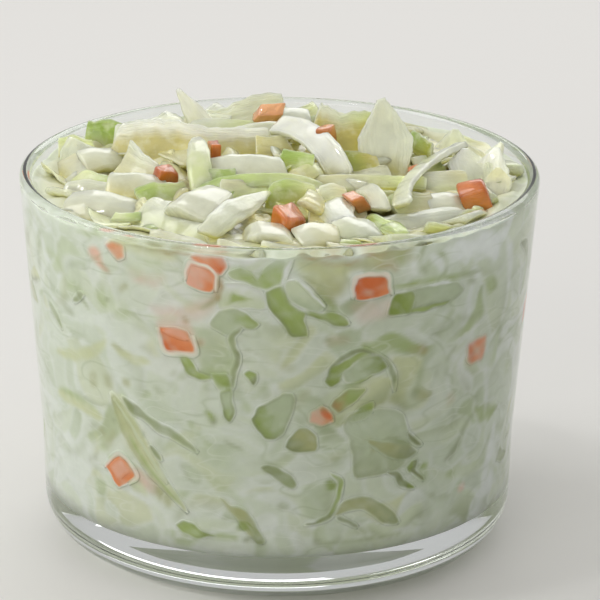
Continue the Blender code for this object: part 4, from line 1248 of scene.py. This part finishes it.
tones = {
    "chunk": ("white", "white", "ivory", "grey", "ivory"),
    "rib": ("white", "ivory", "white", "pale", "grey"),
    "leaf": ("ivory", "cream", "pale", "white", "ivory", "white"),
    "shred": ("pale", "ivory", "green", "cream", "ivory", "white"),
}
strips = {kind: Pile() for kind in cuts}
diced = Pile()


def addStrip(kind, grid, start, end, low):
    pressInto(grid)
    pile = strips[kind]
    pile.add(grid, deepen(grid, stripColours(grid, start, end, low), 1.0), fibres(grid, len(pile.points)))


def addDie(grid, film):
    pressInto(grid)
    diced.add(grid, deepen(grid, dieColours(grid, film), 0.35), fibres(grid, len(diced.points)))


def dropStrips(count, kinds, proud, room, shrink, maker):
    # lets strips fall where the bed lies lowest under the outline, and keeps those that stay under it
    kept = 0
    for number in range(count):
        kind = choose(maker, kinds)
        size = randomSize(kind, maker)
        for key in ("length", "width"):
            size[key] *= shrink
        shape = bentStrip(size)
        tries = []
        for _ in range(heap["tries"]):
            radius, angle = 38.0 * math.sqrt(maker.random()), maker.uniform(0, 2 * np.pi)
            x, y = radius * math.cos(angle), radius * math.sin(angle)
            i, j = cellsOf(np.array((x, y)))
            tries.append((outline[i, j] - level[i, j], x, y))
        tries.sort(reverse=True)
        tilt, roll, heading = maker.normal(0, 12), maker.normal(0, 30), maker.uniform(0, 360)
        tone = choose(maker, tones[kind]), choose(maker, tones[kind]), choose(maker, tones[kind])
        for space, x, y in tries[:3]:
            if space < room:
                break
            along = math.degrees(math.atan2(y, x)) + 90 + 0.2 * (heading - 180)
            grid = turned(shape, roll, tilt, along if math.hypot(x, y) > 32 else heading) + np.array((x, y, 0))
            grid = keepInside(settle(keepInside(grid), size["drape"]))
            if tooHigh(grid) < proud:
                addStrip(kind, grid, *tone)
                kept += 1
                break
    return kept


def overOutline(grid, rise):
    # lifts a piece until its upper part stands this far over the outline, inside the wall
    grid = keepInside(grid + np.array((0, 0, outline.max())))
    return keepInside(grid + np.array((0, 0, rise - tooHigh(grid))))


def leanOnWall(maker):
    # leaves and shreds that stand round the wall, their outer edge up against the glass
    for turn in np.arange(0, 2 * np.pi, 0.24):
        kind = choose(maker, ("leaf", "leaf", "rib"))
        size = randomSize(kind, maker)
        size.update(length=maker.uniform(7, 12), width=maker.uniform(5, 8.5), bend=0, arch=10, cup=30)
        grid = turned(bentStrip(size), maker.uniform(-40, -8), maker.normal(0, 10),
                      math.degrees(turn) + maker.normal(90, 22))
        reach = maker.uniform(33.5, 36)
        grid = grid + np.array((reach * math.cos(turn), reach * math.sin(turn), 0))
        tone = choose(maker, tones["rib"]), choose(maker, tones[kind]), choose(maker, tones["rib"])
        addStrip(kind, overOutline(grid, maker.uniform(-0.9, 0.2)), *tone)


bed = dropStrips(heap["count"], ("rib", "leaf", "shred", "chunk", "leaf"), heap["proud"], 0.0, 1.0, random)
leanOnWall(random)
for kind, x, y, rise, heading, tilt, roll, length, width, thick, cup, arch, bend, taper, *tone in named:
    grid = strip(kind, heading, tilt, roll, length, width, thick, cup, arch, bend, taper, random)
    addStrip(kind, overOutline(grid + np.array((x, y, 0)), rise), *tone)
for x, y, rise, heading, tilt, roll, *sizes, film in dice:
    addDie(overOutline(turned(cutDie(sizes, random), roll, tilt, heading) + np.array((x, y, 0)), rise), film)
filled = dropStrips(heap["fillers"], ("leaf", "leaf", "shred", "chunk", "rib"), 0.0, 1.2, 0.8, random)
print("strips laid", bed, len(named), filled)


def dressed(name, film, cover):
    # knife-cut cabbage or carrot under a thin dressing that lies in patches: light goes a little way in,
    # fibres run along each piece, and the wet film gives small sharp lights
    material, tree = newMaterial(name)
    shader = tree.nodes["Principled BSDF"]
    shader.inputs["Roughness"].default_value = 0.34
    shader.subsurface_method = "BURLEY"
    shader.inputs["Subsurface Weight"].default_value = 0.9
    shader.inputs["Subsurface Radius"].default_value = (1.0, 0.97, 0.7)
    shader.inputs["Subsurface Scale"].default_value = 0.0025
    shader.inputs["Coat Weight"].default_value = 1.0
    shader.inputs["Coat Roughness"].default_value = 0.06
    tint = addNode(tree, "ShaderNodeAttribute", {"attribute_name": "tint"})
    place = addNode(tree, "ShaderNodeAttribute", {"attribute_name": "grain"})
    grain = addNode(tree, "ShaderNodeTexNoise", {"Scale": 1100.0, "Detail": 3.0}, {"Vector": place.outputs["Vector"]})
    bump = addNode(tree, "ShaderNodeBump", {"Strength": 1.0, "Distance": 0.0005}, {"Height": grain.outputs["Fac"]})
    level = addNode(tree, "ShaderNodeMapRange", {"From Min": 0.3, "From Max": 0.7, "To Min": 0.87, "To Max": 1.05},
                    {"Value": grain.outputs["Fac"]})
    fibred = addNode(tree, "ShaderNodeVectorMath", {"operation": "SCALE"},
                     {0: tint.outputs["Color"], "Scale": level.outputs["Result"]})
    place = addNode(tree, "ShaderNodeTexCoord")
    patch = addNode(tree, "ShaderNodeTexNoise", {"Scale": 420.0, "Detail": 3.0}, {"Vector": place.outputs["Object"]})
    share = addNode(tree, "ShaderNodeMapRange", {"From Min": 0.5, "From Max": 0.68, "To Max": cover},
                    {"Value": patch.outputs["Fac"]})
    filmed = addNode(tree, "ShaderNodeMix", {"data_type": "RGBA", 7: (*toLinear(film), 1)},
                     {0: share.outputs["Result"], 6: fibred.outputs[0]})
    tree.links.new(filmed.outputs[2], shader.inputs["Base Color"])
    tree.links.new(bump.outputs["Normal"], shader.inputs["Normal"])
    return material


for kind, pile in strips.items():
    pile.build(kind + "Pieces", dressed("dressed white cabbage " + kind, "#EAECD2", 0.38), "coleslaw")
diced.build("carrotDice", dressed("dressed raw carrot", "#F0B27C", 0.15), "coleslaw")
print("heap built")


studio = {
    "floor": "#E4E2DE",
    "world": "#FFFFFF",
    "worldStrength": 0.53,
}


def makeStudio():
    mesh = bpy.data.meshes.new("floor")
    half = 4.0
    drop = 0.0002              # keeps the floor and the foot apart
    corners = [(-half, -half, -drop), (half, -half, -drop), (half, half, -drop), (-half, half, -drop)]
    mesh.from_pydata(corners, [], [(0, 1, 2, 3)])
    floor = bpy.data.objects.new("floor", mesh)
    bpy.context.scene.collection.objects.link(floor)
    material, tree = newMaterial("matt floor")
    shader = tree.nodes["Principled BSDF"]
    shader.inputs["Base Color"].default_value = (*toLinear(studio["floor"]), 1)
    shader.inputs["Roughness"].default_value = 0.8
    mesh.materials.append(material)

    world = bpy.data.worlds.new("studio")
    world.use_nodes = True
    background = world.node_tree.nodes["Background"]
    background.inputs["Color"].default_value = (*toLinear(studio["world"]), 1)
    background.inputs["Strength"].default_value = studio["worldStrength"]
    bpy.context.scene.world = world
    bpy.context.scene.view_settings.view_transform = "Standard"


def addLight(name, place, size, power, colour="#FFFFFF"):
    light = bpy.data.lights.new(name, "AREA")
    light.shape = "RECTANGLE"
    light.size, light.size_y = size
    light.energy = power
    light.color = toLinear(colour)
    lamp = bpy.data.objects.new(name, light)
    lamp.location = place
    lamp.rotation_euler = (Vector((0, 0, 0.035)) - Vector(place)).to_track_quat("-Z", "Y").to_euler()
    bpy.context.scene.collection.objects.link(lamp)


view = {
    "distance": 0.700,
    "elevation": 19.6,
    "target": (0.0, 0.0, 0.030),
    "lens": 259.6,             # millimetres, on a 36 mm wide sensor
    "yaw": 0.283,              # degrees to the right of the target
    "pitch": 0.646,            # degrees above it
    "roll": 0.45,
}


def makeCamera():
    camera = bpy.data.cameras.new("camera")
    camera.lens = view["lens"]
    camera.sensor_width = 36
    camera.clip_start, camera.clip_end = 0.01, 20
    eye = bpy.data.objects.new("camera", camera)
    e = math.radians(view["elevation"])
    back = Vector((0, -math.cos(e), math.sin(e)))
    eye.location = Vector(view["target"]) + back * view["distance"]
    base = (-back).to_track_quat("-Z", "Y").to_matrix()
    swing = (Matrix.Rotation(math.radians(-view["yaw"]), 3, "Y") @ Matrix.Rotation(math.radians(view["pitch"]), 3, "X")
             @ Matrix.Rotation(math.radians(view["roll"]), 3, "Z"))
    eye.rotation_euler = (base @ swing).to_euler()
    bpy.context.scene.collection.objects.link(eye)
    bpy.context.scene.camera = eye


makeStudio()
addLight("key", (-0.45, 0.05, 0.50), (0.38, 0.38), 1.30)
addLight("glint", (-0.20, -0.10, 0.60), (0.04, 0.04), 0.25)
addLight("back", (0.16, 0.55, 0.45), (0.60, 0.30), 1.05)
addLight("side", (0.55, 0.10, 0.20), (0.30, 0.30), 0.22)
addLight("front", (-0.28, -0.58, 0.30), (0.40, 0.40), 0.78, "#FFFCF4")
makeCamera()
print("studio set")
